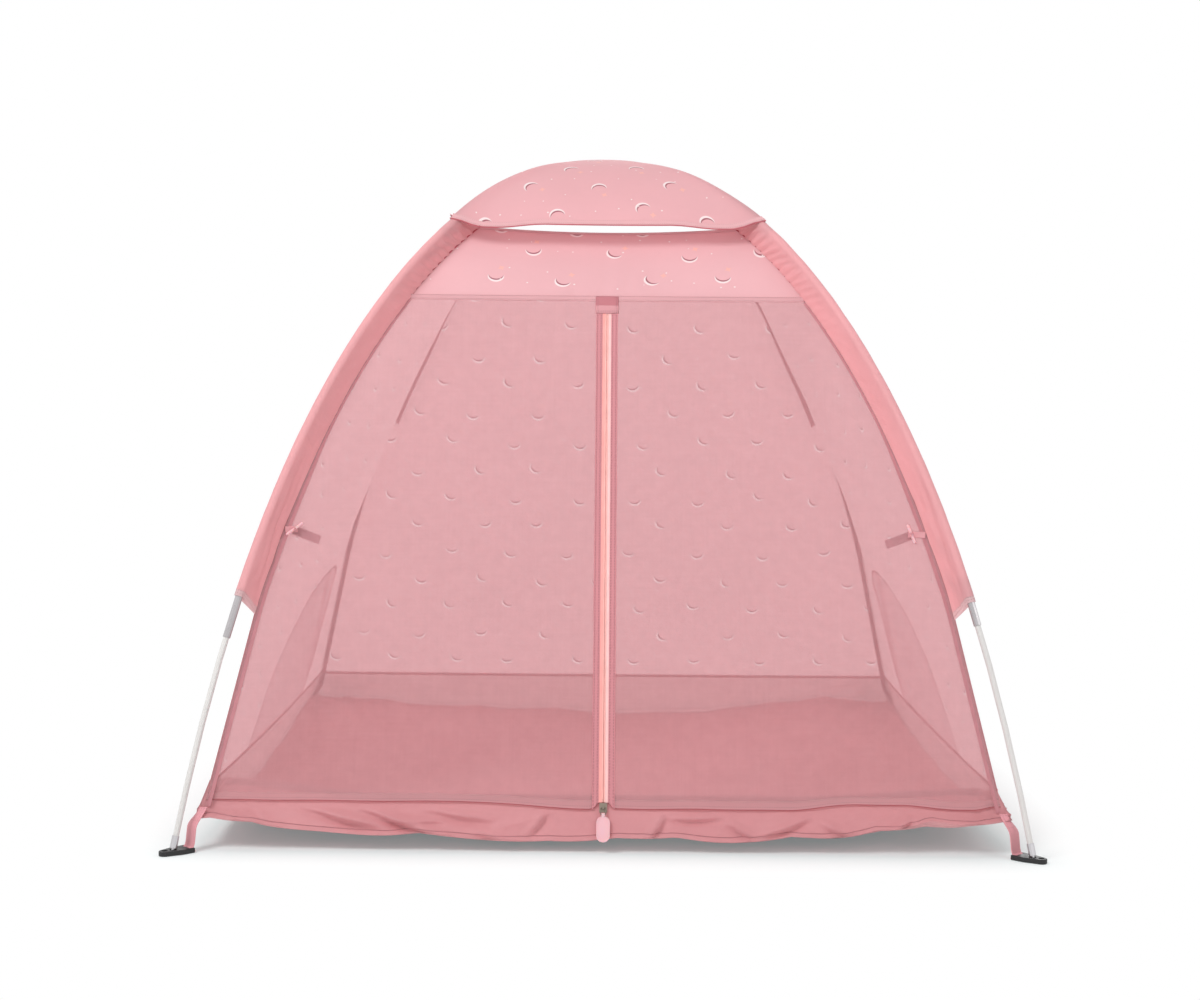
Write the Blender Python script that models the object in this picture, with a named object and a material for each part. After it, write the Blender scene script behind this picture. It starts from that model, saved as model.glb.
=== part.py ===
"""A child's mosquito net tent: a pink cloth and net body that hangs from two crossed, bent glass-fibre poles.

The frame is in metres with +Z up. The origin is on the ground under the crossing, and the door faces -Y.
A "leg" is half a pole, from the crossing down to one foot. Each leg lies in an upright plane at 45 degrees
to the walls, where a place is given by its reach from the middle and its height.
"""

import math

import bmesh
import bpy
from mathutils import Matrix, Vector

# General fits: the gap left between two pieces, the thickness given to cloth, and how far a cutter overruns.
GAP = 0.0003
CLOTH = 0.0012
OVERRUN = 0.004

# The poles: the square that their tips stand on, and the curve that each bent pole follows. The drop below
# the top is a mix of two powers of the reach, the second of which bends the shoulders down to the feet.
FOOT_SPAN = 1.20
POLE_TOP = 1.019
ARCH_POWER = 2.16
SHOULDER_POWER = 7.9
SHOULDER_SHARE = 0.20
POLE_RADIUS = 0.00425
POLE_BORE_RADIUS = 0.0025
SHOCK_CORD_RADIUS = 0.0013
CROSSING_LIFT = 0.0047

# The joints in each pole: how far up the outermost one is, and the metal ferrule over each.
END_SECTIONS = {"upper_pole": 0.345, "lower_pole": 0.372}
SECTIONS = 5
FERRULE_LENGTH = 0.070
FERRULE_WALL = 0.0008

# The metal tip on each pole end: a collar that the pole stands in, and a pin.
TIP_PIN_RADIUS = 0.0023
TIP_COLLAR_RADIUS = 0.0053
TIP_COLLAR_LENGTH = 0.017
TIP_SOCKET_DEPTH = 0.013

# The pole sleeves: a tunnel of cloth with a fin that joins it to the body's corner seam.
SLEEVE_END_HEIGHT = 0.353
FIN_WIDTH = 0.034
FIN_SLANT = 0.015
SLEEVE_HEM = 0.003
FIN_TOP_STUB = 0.003

# The body's corners: how far the flat roof hangs below the poles, how deep the panel over the door is, and
# how far inside the pole's foot each corner seam ends.
ROOF_DROP = 0.114
ROOF_SAG = 0.008
PANEL_DEPTH = 0.115
CORNER_INSET = 0.035
CORNER_HEIGHT = 0.050
STRIP_TOP = 0.090
EDGE_BOW = 0.006
WALL_BOW_SHARE = 0.6

# The groundsheet: how far its folds lie outside the corners, and how far its corners are pulled up.
FOLD_OUTSET = 0.005
CORNER_LIFT = 0.038
LIFT_POWER = 1.25

# The cap over the crossing: how far its front hem reaches past the roof, how much of the roof's reach its
# back hem covers, and how far it stands off the sleeves, as a share of their size.
CAP_FRONT_LAP = 0.0414
CAP_BACK_SHARE = 0.807
CAP_STANDOFF_SHARE = 1.17

# The door: its free hem, how far its middle lies inside the corners, and the strips along the zip.
DOOR_HEM_HEIGHT = 0.068
DOOR_TOP_BOW = 0.009
DOOR_HEM_BOW = 0.007
DOOR_FOLD_INSET = 0.015
ZIP_TAPE_WIDTH = 0.0057
ZIP_SLIT = 0.0026
ZIP_PATCH_WIDTH = 0.035
ZIP_PATCH_LENGTH = 0.025
ZIP_PATCH_LAP = 0.003

# The zip's slider, its link and the soft tab that hangs on it.
SLIDER_WIDTH = 0.011
SLIDER_LENGTH = 0.013
SLIDER_POST_WIDTH = 0.0020
SLIDER_PLATE = 0.0012
LUG_WIDTH = 0.0024
LUG_LENGTH = 0.0060
LUG_HEIGHT = 0.0042
LINK_WIRE_RADIUS = 0.0008
LINK_WIDTH = 0.0085
LINK_LENGTH = 0.0120
TAB_WIDTH = 0.019
TAB_LENGTH = 0.036
TAB_THICKNESS = 0.0032
TAB_CORNER_RADIUS = 0.0082
TAB_RIM = 0.0022
TAB_RECESS = 0.0005
TAB_NECK_WIDTH = 0.0048
TAB_NECK_LENGTH = 0.0050

# The half-moon net windows in the side walls.
WINDOW_SPAN_SHARE = 0.4956
WINDOW_TOP = 0.350
WINDOW_CUT_MARGIN = 0.027

# The ties that hold the door open: a strip with a toggle outside, and a strap inside the net.
TIE_HEIGHT = 0.445
TIE_INSETS = {"left": 0.014, "right": 0.021}
TIE_STRIP_LENGTH = 0.018
TIE_STRIP_WIDTH = 0.009
TIE_STRIP_THICKNESS = 0.0010
TIE_CORD_RADIUS = 0.0009
TIE_KNOT_RADIUS = 0.0018
TIE_KNOT_THICKNESS = 0.0018
TOGGLE_LENGTH = 0.030
TOGGLE_RADIUS = 0.0021
TOGGLE_TILTS = {"left": math.radians(-56), "right": math.radians(25)}
STRAP_LENGTH = 0.040
STRAP_WIDTH = 0.012
STRAP_TILT = math.radians(22)

# The corner webbing and the plastic clip that it holds, with the pole's tip in the clip's eyelet.
WEBBING_WIDTH = 0.020
WEBBING_THICKNESS = 0.0013
WEBBING_LAP = 0.018
CLIP_BRIDGE = 0.0174
CLIP_HEIGHT = 0.0070
CLIP_WIDTH = 0.027
CLIP_WALL = 0.0032
CLIP_BAR_WIDTH = 0.0040
CLIP_BAR_BOTTOM = 0.0026
CLIP_BAR_TOP = 0.0056
CLIP_SLOT = 0.0032
EYELET_RADIUS = 0.0040
EYELET_WALL = 0.0042
PEG_HOLE_RADIUS = 0.0045
PEG_RING_WALL = 0.0038
CLIP_BEVEL = 0.0008

# Counts of stations, rows and sides.
CURVE_STEPS = 400
CAP_RINGS_BACK = 5
CAP_RINGS_FRONT = 4
CAP_COLUMNS = 5
SLEEVE_STATIONS = 9
FOOT_STATIONS = 4
STRAIGHT_ROWS = 3
WALL_COLUMNS = 8
DOOR_COLUMNS = 4
FLOOR_RINGS = 4
FLOOR_COLUMNS = 9
POLE_SIDES = 10
CORD_SIDES = 6
SLEEVE_SIDES = 8
ROUND_SIDES = 20
SMALL_SIDES = 14
ARCH_POINTS = 15

# Sizes that follow from the ones above.
DIAGONAL = math.sqrt(2)
FOOT_REACH = FOOT_SPAN / 2 * DIAGONAL
ROOF_HEIGHT = POLE_TOP - ROOF_DROP
PANEL_HEM_HEIGHT = ROOF_HEIGHT - PANEL_DEPTH
CORNER_HALF_SPAN = FOOT_SPAN / 2 - CORNER_INSET
FOLD_HALF_SPAN = CORNER_HALF_SPAN + FOLD_OUTSET
DOOR_FOLD_HALF_SPAN = CORNER_HALF_SPAN - DOOR_FOLD_INSET
WINDOW_HALF_SPAN = CORNER_HALF_SPAN * WINDOW_SPAN_SHARE
FERRULE_BORE = POLE_RADIUS + GAP
FERRULE_RADIUS = FERRULE_BORE + FERRULE_WALL
SLEEVE_BORE = (FERRULE_RADIUS + GAP) / math.cos(math.pi / SLEEVE_SIDES)
SLEEVE_RADIUS = SLEEVE_BORE + CLOTH
CORNER_DEPTH = CLOTH * DIAGONAL
MITRE = GAP / DIAGONAL
PIVOT_OUT = GAP + SLIDER_PLATE + LUG_HEIGHT / 2
TAPE_EDGE = ZIP_SLIT / 2 + ZIP_TAPE_WIDTH

LEGS = {"front_left": (-1, -1), "front_right": (1, -1), "back_right": (1, 1), "back_left": (-1, 1)}

# Colour, roughness and metallic value of each material.
FINISHES = {
    "print_cloth": ((0.80, 0.42, 0.45), 0.80, 0.0),
    "plain_cloth": ((0.66, 0.30, 0.32), 0.85, 0.0),
    "net": ((0.72, 0.36, 0.38), 0.90, 0.0),
    "zip_tape": ((0.94, 0.48, 0.45), 0.75, 0.0),
    "webbing": ((0.76, 0.38, 0.41), 0.85, 0.0),
    "fibreglass": ((0.72, 0.69, 0.68), 0.35, 0.0),
    "steel": ((0.55, 0.53, 0.53), 0.30, 1.0),
    "black_plastic": ((0.02, 0.02, 0.022), 0.45, 0.0),
    "soft_plastic": ((0.85, 0.70, 0.70), 0.40, 0.0),
    "elastic": ((0.75, 0.72, 0.70), 0.80, 0.0),
}


def clear_scene():
    for obj in list(bpy.data.objects):
        bpy.data.objects.remove(obj, do_unlink=True)


def material(name):
    found = bpy.data.materials.get(name)
    if found:
        return found
    colour, roughness, metallic = FINISHES[name]
    found = bpy.data.materials.new(name)
    found.use_nodes = True
    shader = found.node_tree.nodes["Principled BSDF"]
    shader.inputs["Base Color"].default_value = (*colour, 1)
    shader.inputs["Roughness"].default_value = roughness
    shader.inputs["Metallic"].default_value = metallic
    return found


def place(name, shape, finish, origin=Vector(), smooth=False):
    """Makes an object of a bmesh given in world places, with its own origin."""
    bmesh.ops.translate(shape, vec=-origin, verts=shape.verts)
    bmesh.ops.recalc_face_normals(shape, faces=shape.faces)
    mesh = bpy.data.meshes.new(name)
    shape.to_mesh(mesh)
    shape.free()
    if smooth:
        mesh.shade_smooth()
        mesh.set_sharp_from_angle(angle=math.radians(40))
    obj = bpy.data.objects.new(name, mesh)
    obj.location = origin
    mesh.materials.append(material(finish))
    bpy.context.collection.objects.link(obj)
    return obj


def combine(obj, other, operation):
    """Adds a Boolean with another object, which becomes an unseen tool."""
    other.hide_render = True
    other.display_type = "WIRE"
    cut = obj.modifiers.new(other.name, "BOOLEAN")
    cut.object = other
    cut.operation = operation
    cut.solver = "EXACT"


def mix(a, b, share):
    return a + (b - a) * share


def skin(shape, rows, closed_rows):
    """Faces between each row of points and the next."""
    for row, following in zip(rows, rows[1:]):
        count = len(following)
        for i in range(count if closed_rows else count - 1):
            j = (i + 1) % count
            if len(row) == 1:
                shape.faces.new((row[0], following[i], following[j]))
            else:
                shape.faces.new((row[i], following[i], following[j], row[j]))


def tube(rings, bores=None):
    """A rod through closed rings of points, or a pipe when bores gives the rings of its hole."""
    shape = bmesh.new()
    outer = [[shape.verts.new(p) for p in ring] for ring in rings]
    skin(shape, outer, True)
    if bores is None:
        shape.faces.new(outer[0])
        shape.faces.new(outer[-1])
        return shape
    inner = [[shape.verts.new(p) for p in ring] for ring in bores]
    skin(shape, inner, True)
    skin(shape, [outer[0], inner[0]], True)
    skin(shape, [outer[-1], inner[-1]], True)
    return shape


def cloth(outside, inside):
    """A sheet of cloth between two like grids of points."""
    shape = bmesh.new()
    faces = [[[shape.verts.new(p) for p in row] for row in grid] for grid in (outside, inside)]
    for grid in faces:
        skin(shape, grid, False)
    for row in (0, -1):
        skin(shape, [faces[0][row], faces[1][row]], False)
    for column in (0, -1):
        skin(shape, [[row[column] for row in grid] for grid in faces], False)
    return shape


def dish(outside, inside):
    """A sheet of cloth made of rings about a middle point, closed round its rim."""
    shape = bmesh.new()
    faces = [[[shape.verts.new(p) for p in row] for row in grid] for grid in (outside, inside)]
    for grid in faces:
        skin(shape, grid, True)
    skin(shape, [faces[0][-1], faces[1][-1]], True)
    return shape


def block(corner_a, corner_b, turn=Matrix.Identity(3), origin=Vector()):
    """A box between two corners in a turned frame."""
    shape = bmesh.new()
    middle = (corner_a + corner_b) / 2
    size = corner_b - corner_a
    bmesh.ops.create_cube(shape, size=1)
    for vert in shape.verts:
        local = Vector([m + s * c for m, s, c in zip(middle, size, vert.co)])
        vert.co = origin + turn @ local
    return shape


def prism(outline, low, high, turn=Matrix.Identity(3), origin=Vector()):
    """An outline in a turned frame's XY plane, raised from low to high along its Z."""
    rings = [[origin + turn @ Vector((x, y, z)) for x, y in outline] for z in (low, high)]
    return tube(rings)


def circle(radius, sides, middle=(0, 0)):
    """Points round a circle."""
    turns = [math.tau * i / sides for i in range(sides)]
    return [(middle[0] + radius * math.cos(a), middle[1] + radius * math.sin(a)) for a in turns]


def turned(profile, start, along, beside, sides):
    """A solid of revolution from (distance, radius) pairs, about a line that starts at start."""
    third = along.cross(beside)
    rings = []
    for distance, radius in profile:
        rings.append([start + along * distance + beside * x + third * y for x, y in circle(radius, sides)])
    return rings


# The pole's curve and the stations where it bends


def pole_height(reach):
    """Height of the pole's axis at a reach from the middle."""
    share = reach / FOOT_REACH
    drop = (1 - SHOULDER_SHARE) * share**ARCH_POWER + SHOULDER_SHARE * share**SHOULDER_POWER
    return POLE_TOP * (1 - drop)


def inward(reach):
    """Unit normal of the pole's curve towards the inside, as (reach, height)."""
    share = reach / FOOT_REACH
    arch = (1 - SHOULDER_SHARE) * ARCH_POWER * share ** (ARCH_POWER - 1)
    shoulder = SHOULDER_SHARE * SHOULDER_POWER * share ** (SHOULDER_POWER - 1)
    slope = POLE_TOP / FOOT_REACH * (arch + shoulder)
    return Vector((-slope, -1)).normalized()


def solve(rule, goal, low, high):
    """The place between low and high where a rule that falls steadily passes its goal."""
    for _ in range(60):
        middle = (low + high) / 2
        if rule(middle) > goal:
            low = middle
        else:
            high = middle
    return (low + high) / 2


def spread(start, end, count):
    """Reaches after start up to end, with even steps along the curve."""
    reaches = [mix(start, end, i / CURVE_STEPS) for i in range(CURVE_STEPS + 1)]
    walked = [0.0]
    for a, b in zip(reaches, reaches[1:]):
        walked.append(walked[-1] + math.hypot(b - a, pole_height(b) - pole_height(a)))
    found = []
    for step in range(1, count + 1):
        goal = walked[-1] * step / count
        i = next(k for k, length in enumerate(walked) if length >= goal * (1 - 1e-9))
        share = (goal - walked[i - 1]) / (walked[i] - walked[i - 1])
        found.append(mix(reaches[i - 1], reaches[i], share))
    return found


ROOF_REACH = solve(lambda r: pole_height(r) + FIN_WIDTH * inward(r).y, ROOF_HEIGHT, 0, FOOT_REACH)
SLEEVE_END_REACH = solve(pole_height, SLEEVE_END_HEIGHT, 0, FOOT_REACH)
CAP_FRONT_REACH = ROOF_REACH + CAP_FRONT_LAP
CAP_BACK_REACH = ROOF_REACH * CAP_BACK_SHARE


def cap_reaches(leg):
    """Reaches of the cap's rings along a leg, without the middle."""
    if leg.startswith("front"):
        return [ROOF_REACH * k / CAP_RINGS_FRONT for k in range(1, CAP_RINGS_FRONT + 1)] + [CAP_FRONT_REACH]
    return [CAP_BACK_REACH * k / CAP_RINGS_BACK for k in range(1, CAP_RINGS_BACK + 1)]


def sleeve_reaches(leg):
    """Reaches of the stations that a leg's sleeve passes, from its top to its end."""
    upper = [r for r in cap_reaches(leg) if r < ROOF_REACH * (1 - 1e-6)]
    return upper + wall_reaches()


def wall_reaches():
    """Reaches of the stations along the walls, from the roof to the sleeve's end."""
    return [ROOF_REACH, CAP_FRONT_REACH] + spread(CAP_FRONT_REACH, SLEEVE_END_REACH, SLEEVE_STATIONS)


def leg_reaches(leg):
    return [0] + sleeve_reaches(leg) + spread(SLEEVE_END_REACH, FOOT_REACH, FOOT_STATIONS)


def leg_axes(leg):
    """The level directions out along a leg and across its plane."""
    x, y = LEGS[leg]
    return Vector((x, y, 0)) / DIAGONAL, Vector((-y, x, 0)) / DIAGONAL


def in_leg(leg, reach, height, across=0.0):
    out, beside = leg_axes(leg)
    return out * reach + beside * across + Vector((0, 0, height))


def on_curve(reach, offset):
    """A (reach, height) place at an offset inside the pole's axis."""
    return Vector((reach, pole_height(reach))) + inward(reach) * offset


# Poles, ferrules, cords and tips


def pole_line(front, back, lift):
    """The axis of one pole from its front foot to its back foot."""
    going_up = [in_leg(front, r, pole_height(r)) for r in reversed(leg_reaches(front)[1:])]
    crossing = [Vector((0, 0, POLE_TOP + lift))]
    going_down = [in_leg(back, r, pole_height(r)) for r in leg_reaches(back)[1:]]
    return going_up + crossing + going_down


def line_length(line):
    return sum((b - a).length for a, b in zip(line, line[1:]))


def stretch(line, start, end):
    """The part of a line between two distances along it."""
    places = []
    walked = 0
    for a, b in zip(line, line[1:]):
        length = (b - a).length
        if walked < start < walked + length:
            places.append(a.lerp(b, (start - walked) / length))
        elif start <= walked < end:
            places.append(a)
        if walked < end <= walked + length:
            places.append(a.lerp(b, (end - walked) / length))
        walked += length
    return places


def bend_frames(line, beside):
    """For each point of a line in an upright plane, the direction square to it, lengthened at a bend."""
    normals = [(b - a).normalized().cross(beside) for a, b in zip(line, line[1:])]
    frames = [normals[0]]
    for a, b in zip(normals, normals[1:]):
        middle = (a + b).normalized()
        frames.append(middle / middle.dot(a))
    frames.append(normals[-1])
    return frames


def round_rings(line, beside, radius, sides):
    frames = bend_frames(line, beside)
    rings = []
    for place_on_line, across in zip(line, frames):
        rings.append([place_on_line + across * x + beside * y for x, y in circle(radius, sides)])
    return rings


def make_pole(name, front, back, lift):
    """One pole: its sections, the ferrules over their joints, the elastic cord inside and the two tips."""
    line = pole_line(front, back, lift)
    beside = leg_axes(front)[1]
    whole = line_length(line)
    tip = tip_sizes()
    end_section = END_SECTIONS[name]
    middle_section = (whole - 2 * end_section) / (SECTIONS - 2)
    joints = [end_section + middle_section * i for i in range(SECTIONS - 1)]
    starts = [tip["pole"]] + [j + GAP / 2 for j in joints]
    ends = [j - GAP / 2 for j in joints] + [whole - tip["pole"]]
    for i, (start, end) in enumerate(zip(starts, ends)):
        part = stretch(line, start, end)
        rings = round_rings(part, beside, POLE_RADIUS, POLE_SIDES)
        bores = round_rings(part, beside, POLE_BORE_RADIUS, POLE_SIDES)
        place(f"{name}_section_{i + 1}", tube(rings, bores), "fibreglass", smooth=True)
    for i, joint in enumerate(joints):
        part = stretch(line, joint - FERRULE_LENGTH / 2, joint + FERRULE_LENGTH / 2)
        rings = round_rings(part, beside, FERRULE_RADIUS, POLE_SIDES)
        bores = round_rings(part, beside, FERRULE_BORE, POLE_SIDES)
        place(f"{name}_ferrule_{i + 1}", tube(rings, bores), "steel", smooth=True)
    part = stretch(line, tip["cord"], whole - tip["cord"])
    cord = tube(round_rings(part, beside, SHOCK_CORD_RADIUS, CORD_SIDES))
    place(f"{name}_shock_cord", cord, "elastic", smooth=True)
    for leg, foot, above in ((front, line[0], line[1]), (back, line[-1], line[-2])):
        make_pole_tip(leg, foot, (above - foot).normalized(), beside)


def tip_sizes():
    """Distances up the pole's end of the tip's parts, and where the pole and its cord begin."""
    run = FOOT_REACH - leg_reaches("back_left")[-2]
    rise = pole_height(leg_reaches("back_left")[-2])
    lean = rise / math.hypot(run, rise)
    tilt = run / math.hypot(run, rise)
    collar = (CLIP_HEIGHT + GAP + TIP_COLLAR_RADIUS * tilt) / lean
    socket = collar + TIP_COLLAR_LENGTH - TIP_SOCKET_DEPTH
    return {
        "pin": (GAP + TIP_PIN_RADIUS * tilt) / lean,
        "collar": collar,
        "socket": socket,
        "pole": socket + GAP,
        "cord": socket + GAP,
        "top": collar + TIP_COLLAR_LENGTH,
    }


def make_pole_tip(leg, foot, up, beside):
    tip = tip_sizes()
    bore = POLE_RADIUS + GAP
    outside = [
        (tip["pin"], TIP_PIN_RADIUS),
        (tip["collar"], TIP_PIN_RADIUS),
        (tip["collar"], TIP_COLLAR_RADIUS),
        (tip["top"], TIP_COLLAR_RADIUS),
        (tip["top"], bore),
        (tip["socket"], bore),
    ]
    shape = tube(turned(outside, foot, up, beside, POLE_SIDES))
    place(f"pole_tip_{leg}", shape, "steel", smooth=True)


# The body's corner seams


def seam_line(depth):
    """Places (reach, height) down a corner seam from the roof to its foot, at a depth inside the cloth."""
    places = [on_curve(r, FIN_WIDTH + depth) for r in wall_reaches()]
    foot = Vector((CORNER_HALF_SPAN * DIAGONAL, CORNER_HEIGHT))
    run = (foot - on_curve(SLEEVE_END_REACH, FIN_WIDTH)).normalized()
    foot_in = foot + Vector((run.y, -run.x)) * depth
    last = places[-1]
    return places + [mix(last, foot_in, i / STRAIGHT_ROWS) for i in range(1, STRAIGHT_ROWS + 1)]


SEAM = seam_line(0)
SEAM_INSIDE = seam_line(CORNER_DEPTH)


def half_span(height, inside=False):
    """Half the width between the corner seams at a height, to the cloth's outer or inner side."""
    line = SEAM_INSIDE if inside else SEAM
    last = len(line) - 2
    i = next((k for k in range(last) if line[k + 1].y <= height), last)
    share = (line[i].y - height) / (line[i].y - line[i + 1].y)
    return mix(line[i], line[i + 1], share).x / DIAGONAL


def levels(top, bottom):
    """Heights of the rows between two heights, with every bend of the seam in between."""
    return [top] + [p.y for p in SEAM if bottom + CLOTH < p.y < top - CLOTH] + [bottom]


# The door's plane, in which the zip runs straight


DOOR_TOP = Vector((0, DOOR_TOP_BOW - half_span(PANEL_HEM_HEIGHT), PANEL_HEM_HEIGHT))
DOOR_FOOT = Vector((0, DOOR_HEM_BOW - half_span(DOOR_HEM_HEIGHT), DOOR_HEM_HEIGHT))
DOOR_UP = (DOOR_TOP - DOOR_FOOT).normalized()
DOOR_OUT = Vector((0, -DOOR_UP.z, DOOR_UP.y))
DOOR_LENGTH = (DOOR_TOP - DOOR_FOOT).length
DOOR_TURN = Matrix((Vector((1, 0, 0)), DOOR_UP, DOOR_OUT)).transposed()

# Distances up the door's plane from its hem: the slider at rest and at the top, the ends of the tapes, and
# the point where the fold line of each leaf starts.
SLIDER_REST = -GAP - SLIDER_LENGTH / 2
PATCH_FOOT = DOOR_LENGTH - ZIP_PATCH_LENGTH
SLIDER_TOP = PATCH_FOOT - GAP - SLIDER_LENGTH / 2
SLIDER_TRAVEL = SLIDER_TOP - SLIDER_REST
FOLD_TOP = SLIDER_TOP - SLIDER_LENGTH / 2 - GAP
FOLD_TOP_SIDE = TAPE_EDGE + GAP
TAPE_TOP = FOLD_TOP - ZIP_TAPE_WIDTH


def door_point(side, up, out=0.0):
    """A place in the door's plane: to the side, up from the hem, and out from the net's outer face."""
    return DOOR_FOOT + Vector((side, 0, 0)) + DOOR_UP * up + DOOR_OUT * out


def door_block(left, right, low, high, back, front, middle=0.0):
    """A box in the door's plane: from left to right, up it, and out of it, about a middle point up it."""
    near = Vector((left, middle + low, back))
    return block(near, Vector((right, middle + high, front)), DOOR_TURN, DOOR_FOOT)


def fold_side(up):
    """How far to the side the fold line lies at a distance up the door."""
    share = 1 - up / FOLD_TOP
    return mix(FOLD_TOP_SIDE, DOOR_FOLD_HALF_SPAN, share) if share > 0 else FOLD_TOP_SIDE


def door_depth(height):
    """How far forward the door's plane lies at a height."""
    return mix(DOOR_FOOT, DOOR_TOP, (height - DOOR_HEM_HEIGHT) / (PANEL_HEM_HEIGHT - DOOR_HEM_HEIGHT)).y


def front_depth(side, height):
    """Y of the front's outer face: flat over the leaf that folds, then out to the corner seam, in a line
    at the hem and in a curve at the top."""
    up = (height - DOOR_HEM_HEIGHT) / DOOR_UP.z
    fold = fold_side(max(up, 0))
    share = (abs(side) - fold) / (half_span(height) - fold)
    curve = max(share, 0) ** (1 + up / DOOR_LENGTH)
    return mix(door_depth(height), -half_span(height), curve)


# Cloth pieces of the body


def wall_bow(height):
    """How far the middle of a side or back wall lies inside its corners."""
    top = half_span(ROOF_HEIGHT)
    bottom = half_span(STRIP_TOP)
    straight = mix(bottom, top, (height - STRIP_TOP) / (ROOF_HEIGHT - STRIP_TOP))
    return EDGE_BOW + WALL_BOW_SHARE * (half_span(height) - straight)


def panel_bow(height):
    share = (height - PANEL_HEM_HEIGHT) / (ROOF_HEIGHT - PANEL_HEM_HEIGHT)
    return mix(DOOR_TOP_BOW, EDGE_BOW, share)


def roof_drop(height):
    """How far the middle of a wall's row hangs below its ends, near the roof."""
    share = (height - PANEL_HEM_HEIGHT) / (ROOF_HEIGHT - PANEL_HEM_HEIGHT)
    return ROOF_SAG * max(share, 0)


def wall_grid(facing, heights, bow, inside):
    """Rows of points across one wall, bowed in between its corner seams."""
    along = Vector((-facing.y, facing.x, 0))
    grid = []
    for height in heights:
        half = half_span(height, inside)
        row = []
        for i in range(WALL_COLUMNS + 1):
            t = 2 * i / WALL_COLUMNS - 1
            hollow = 1 - t * t
            level = Vector((0, 0, height - roof_drop(height) * hollow))
            row.append(along * (half - MITRE) * t + facing * (half - bow(height) * hollow) + level)
        grid.append(row)
    return grid


def wall(facing, heights, bow):
    return cloth(wall_grid(facing, heights, bow, False), wall_grid(facing, heights, bow, True))


def make_back_wall():
    shape = wall(Vector((0, 1, 0)), levels(ROOF_HEIGHT, STRIP_TOP + GAP / 2), wall_bow)
    place("back_wall", shape, "print_cloth")


def make_front_top_panel():
    """The printed panel over the door, with the patch over the zip's top end sewn on along its hem."""
    shape = wall(Vector((0, -1, 0)), levels(ROOF_HEIGHT, PANEL_HEM_HEIGHT + GAP / 2), panel_bow)
    panel = place("front_top_panel", shape, "print_cloth")
    half = ZIP_PATCH_WIDTH / 2
    lap = DOOR_LENGTH + ZIP_PATCH_LAP
    patch = door_block(-half, half, PATCH_FOOT, lap, GAP, GAP + CLOTH)
    seam = door_block(-half, half, DOOR_LENGTH + 2 * GAP, lap, -CLOTH / 2, GAP + CLOTH)
    combine(panel, place("zip_top_patch", patch, "plain_cloth"), "UNION")
    combine(panel, place("zip_top_seam", seam, "plain_cloth"), "UNION")


def arch_outline(shrink):
    """The half-moon of a side window, as (place along the wall, height), run down past the wall's edge."""
    half = WINDOW_HALF_SPAN - shrink
    rise = WINDOW_TOP - shrink - STRIP_TOP
    arch = []
    for i in range(ARCH_POINTS):
        turn = math.pi * i / (ARCH_POINTS - 1)
        arch.append((half * math.cos(turn), STRIP_TOP + rise * math.sin(turn)))
    return arch + [(-half, STRIP_TOP - OVERRUN), (half, STRIP_TOP - OVERRUN)]


def make_side_wall(side):
    """One side wall with its half-moon net window, each cut from the same curved sheet."""
    word = "left" if side < 0 else "right"
    facing = Vector((side, 0, 0))
    heights = levels(ROOF_HEIGHT, STRIP_TOP + GAP / 2)
    near = half_span(WINDOW_TOP) - wall_bow(WINDOW_TOP) - WINDOW_CUT_MARGIN
    far = CORNER_HALF_SPAN + WINDOW_CUT_MARGIN
    upright = Matrix(((0, 0, side), (1, 0, 0), (0, 1, 0)))
    for name, finish, shrink, operation in (
        (f"side_wall_{word}", "print_cloth", 0, "DIFFERENCE"),
        (f"side_window_{word}", "net", GAP, "INTERSECT"),
    ):
        sheet = place(name, wall(facing, heights, wall_bow), finish)
        arch = place(f"{name}_arch", prism(arch_outline(shrink), near, far, upright), finish)
        combine(sheet, arch, operation)


def make_roof_net():
    """The flat net ceiling, cut to the four bowed top edges of the walls."""
    grids = []
    half = half_span(ROOF_HEIGHT, True) - GAP * DIAGONAL
    for level in (ROOF_HEIGHT, ROOF_HEIGHT - CLOTH):
        grid = []
        for i in range(WALL_COLUMNS + 1):
            t = 2 * i / WALL_COLUMNS - 1
            row = []
            for j in range(WALL_COLUMNS + 1):
                s = 2 * j / WALL_COLUMNS - 1
                across, ahead = 1 - s * s, 1 - t * t
                drop = ROOF_SAG * (across + ahead - across * ahead / 2)
                row.append(Vector((s * (half - EDGE_BOW * ahead), t * (half - EDGE_BOW * across), level - drop)))
            grid.append(row)
        grids.append(grid)
    place("roof_net", cloth(*grids), "net")


def floor_height(x, y):
    """The groundsheet lies on the ground along its middle lines and lifts towards its corners."""
    return CORNER_LIFT * (abs(x * y) / FOLD_HALF_SPAN**2) ** LIFT_POWER


def fold_share(height):
    """Where the fold line of a door leaf, run on down, passes a height, as a share of the half span."""
    return fold_side((height - DOOR_HEM_HEIGHT) / DOOR_UP.z) / half_span(height)


def square_ring(half, place_at, fold):
    """Points round a square ring, with two by the corners where the door's fold lines pass, from a rule
    that takes each point's place on a flat square."""
    ring = []
    count = FLOOR_COLUMNS - 2
    shares = [-1] + [mix(-fold, fold, i / count) for i in range(count + 1)]
    corners = list(LEGS.values())
    for (ax, ay), (bx, by) in zip(corners, corners[1:] + corners[:1]):
        for along in shares:
            share = (1 + along) / 2
            ring.append(place_at(mix(ax, bx, share) * half, mix(ay, by, share) * half))
    return ring


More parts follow.
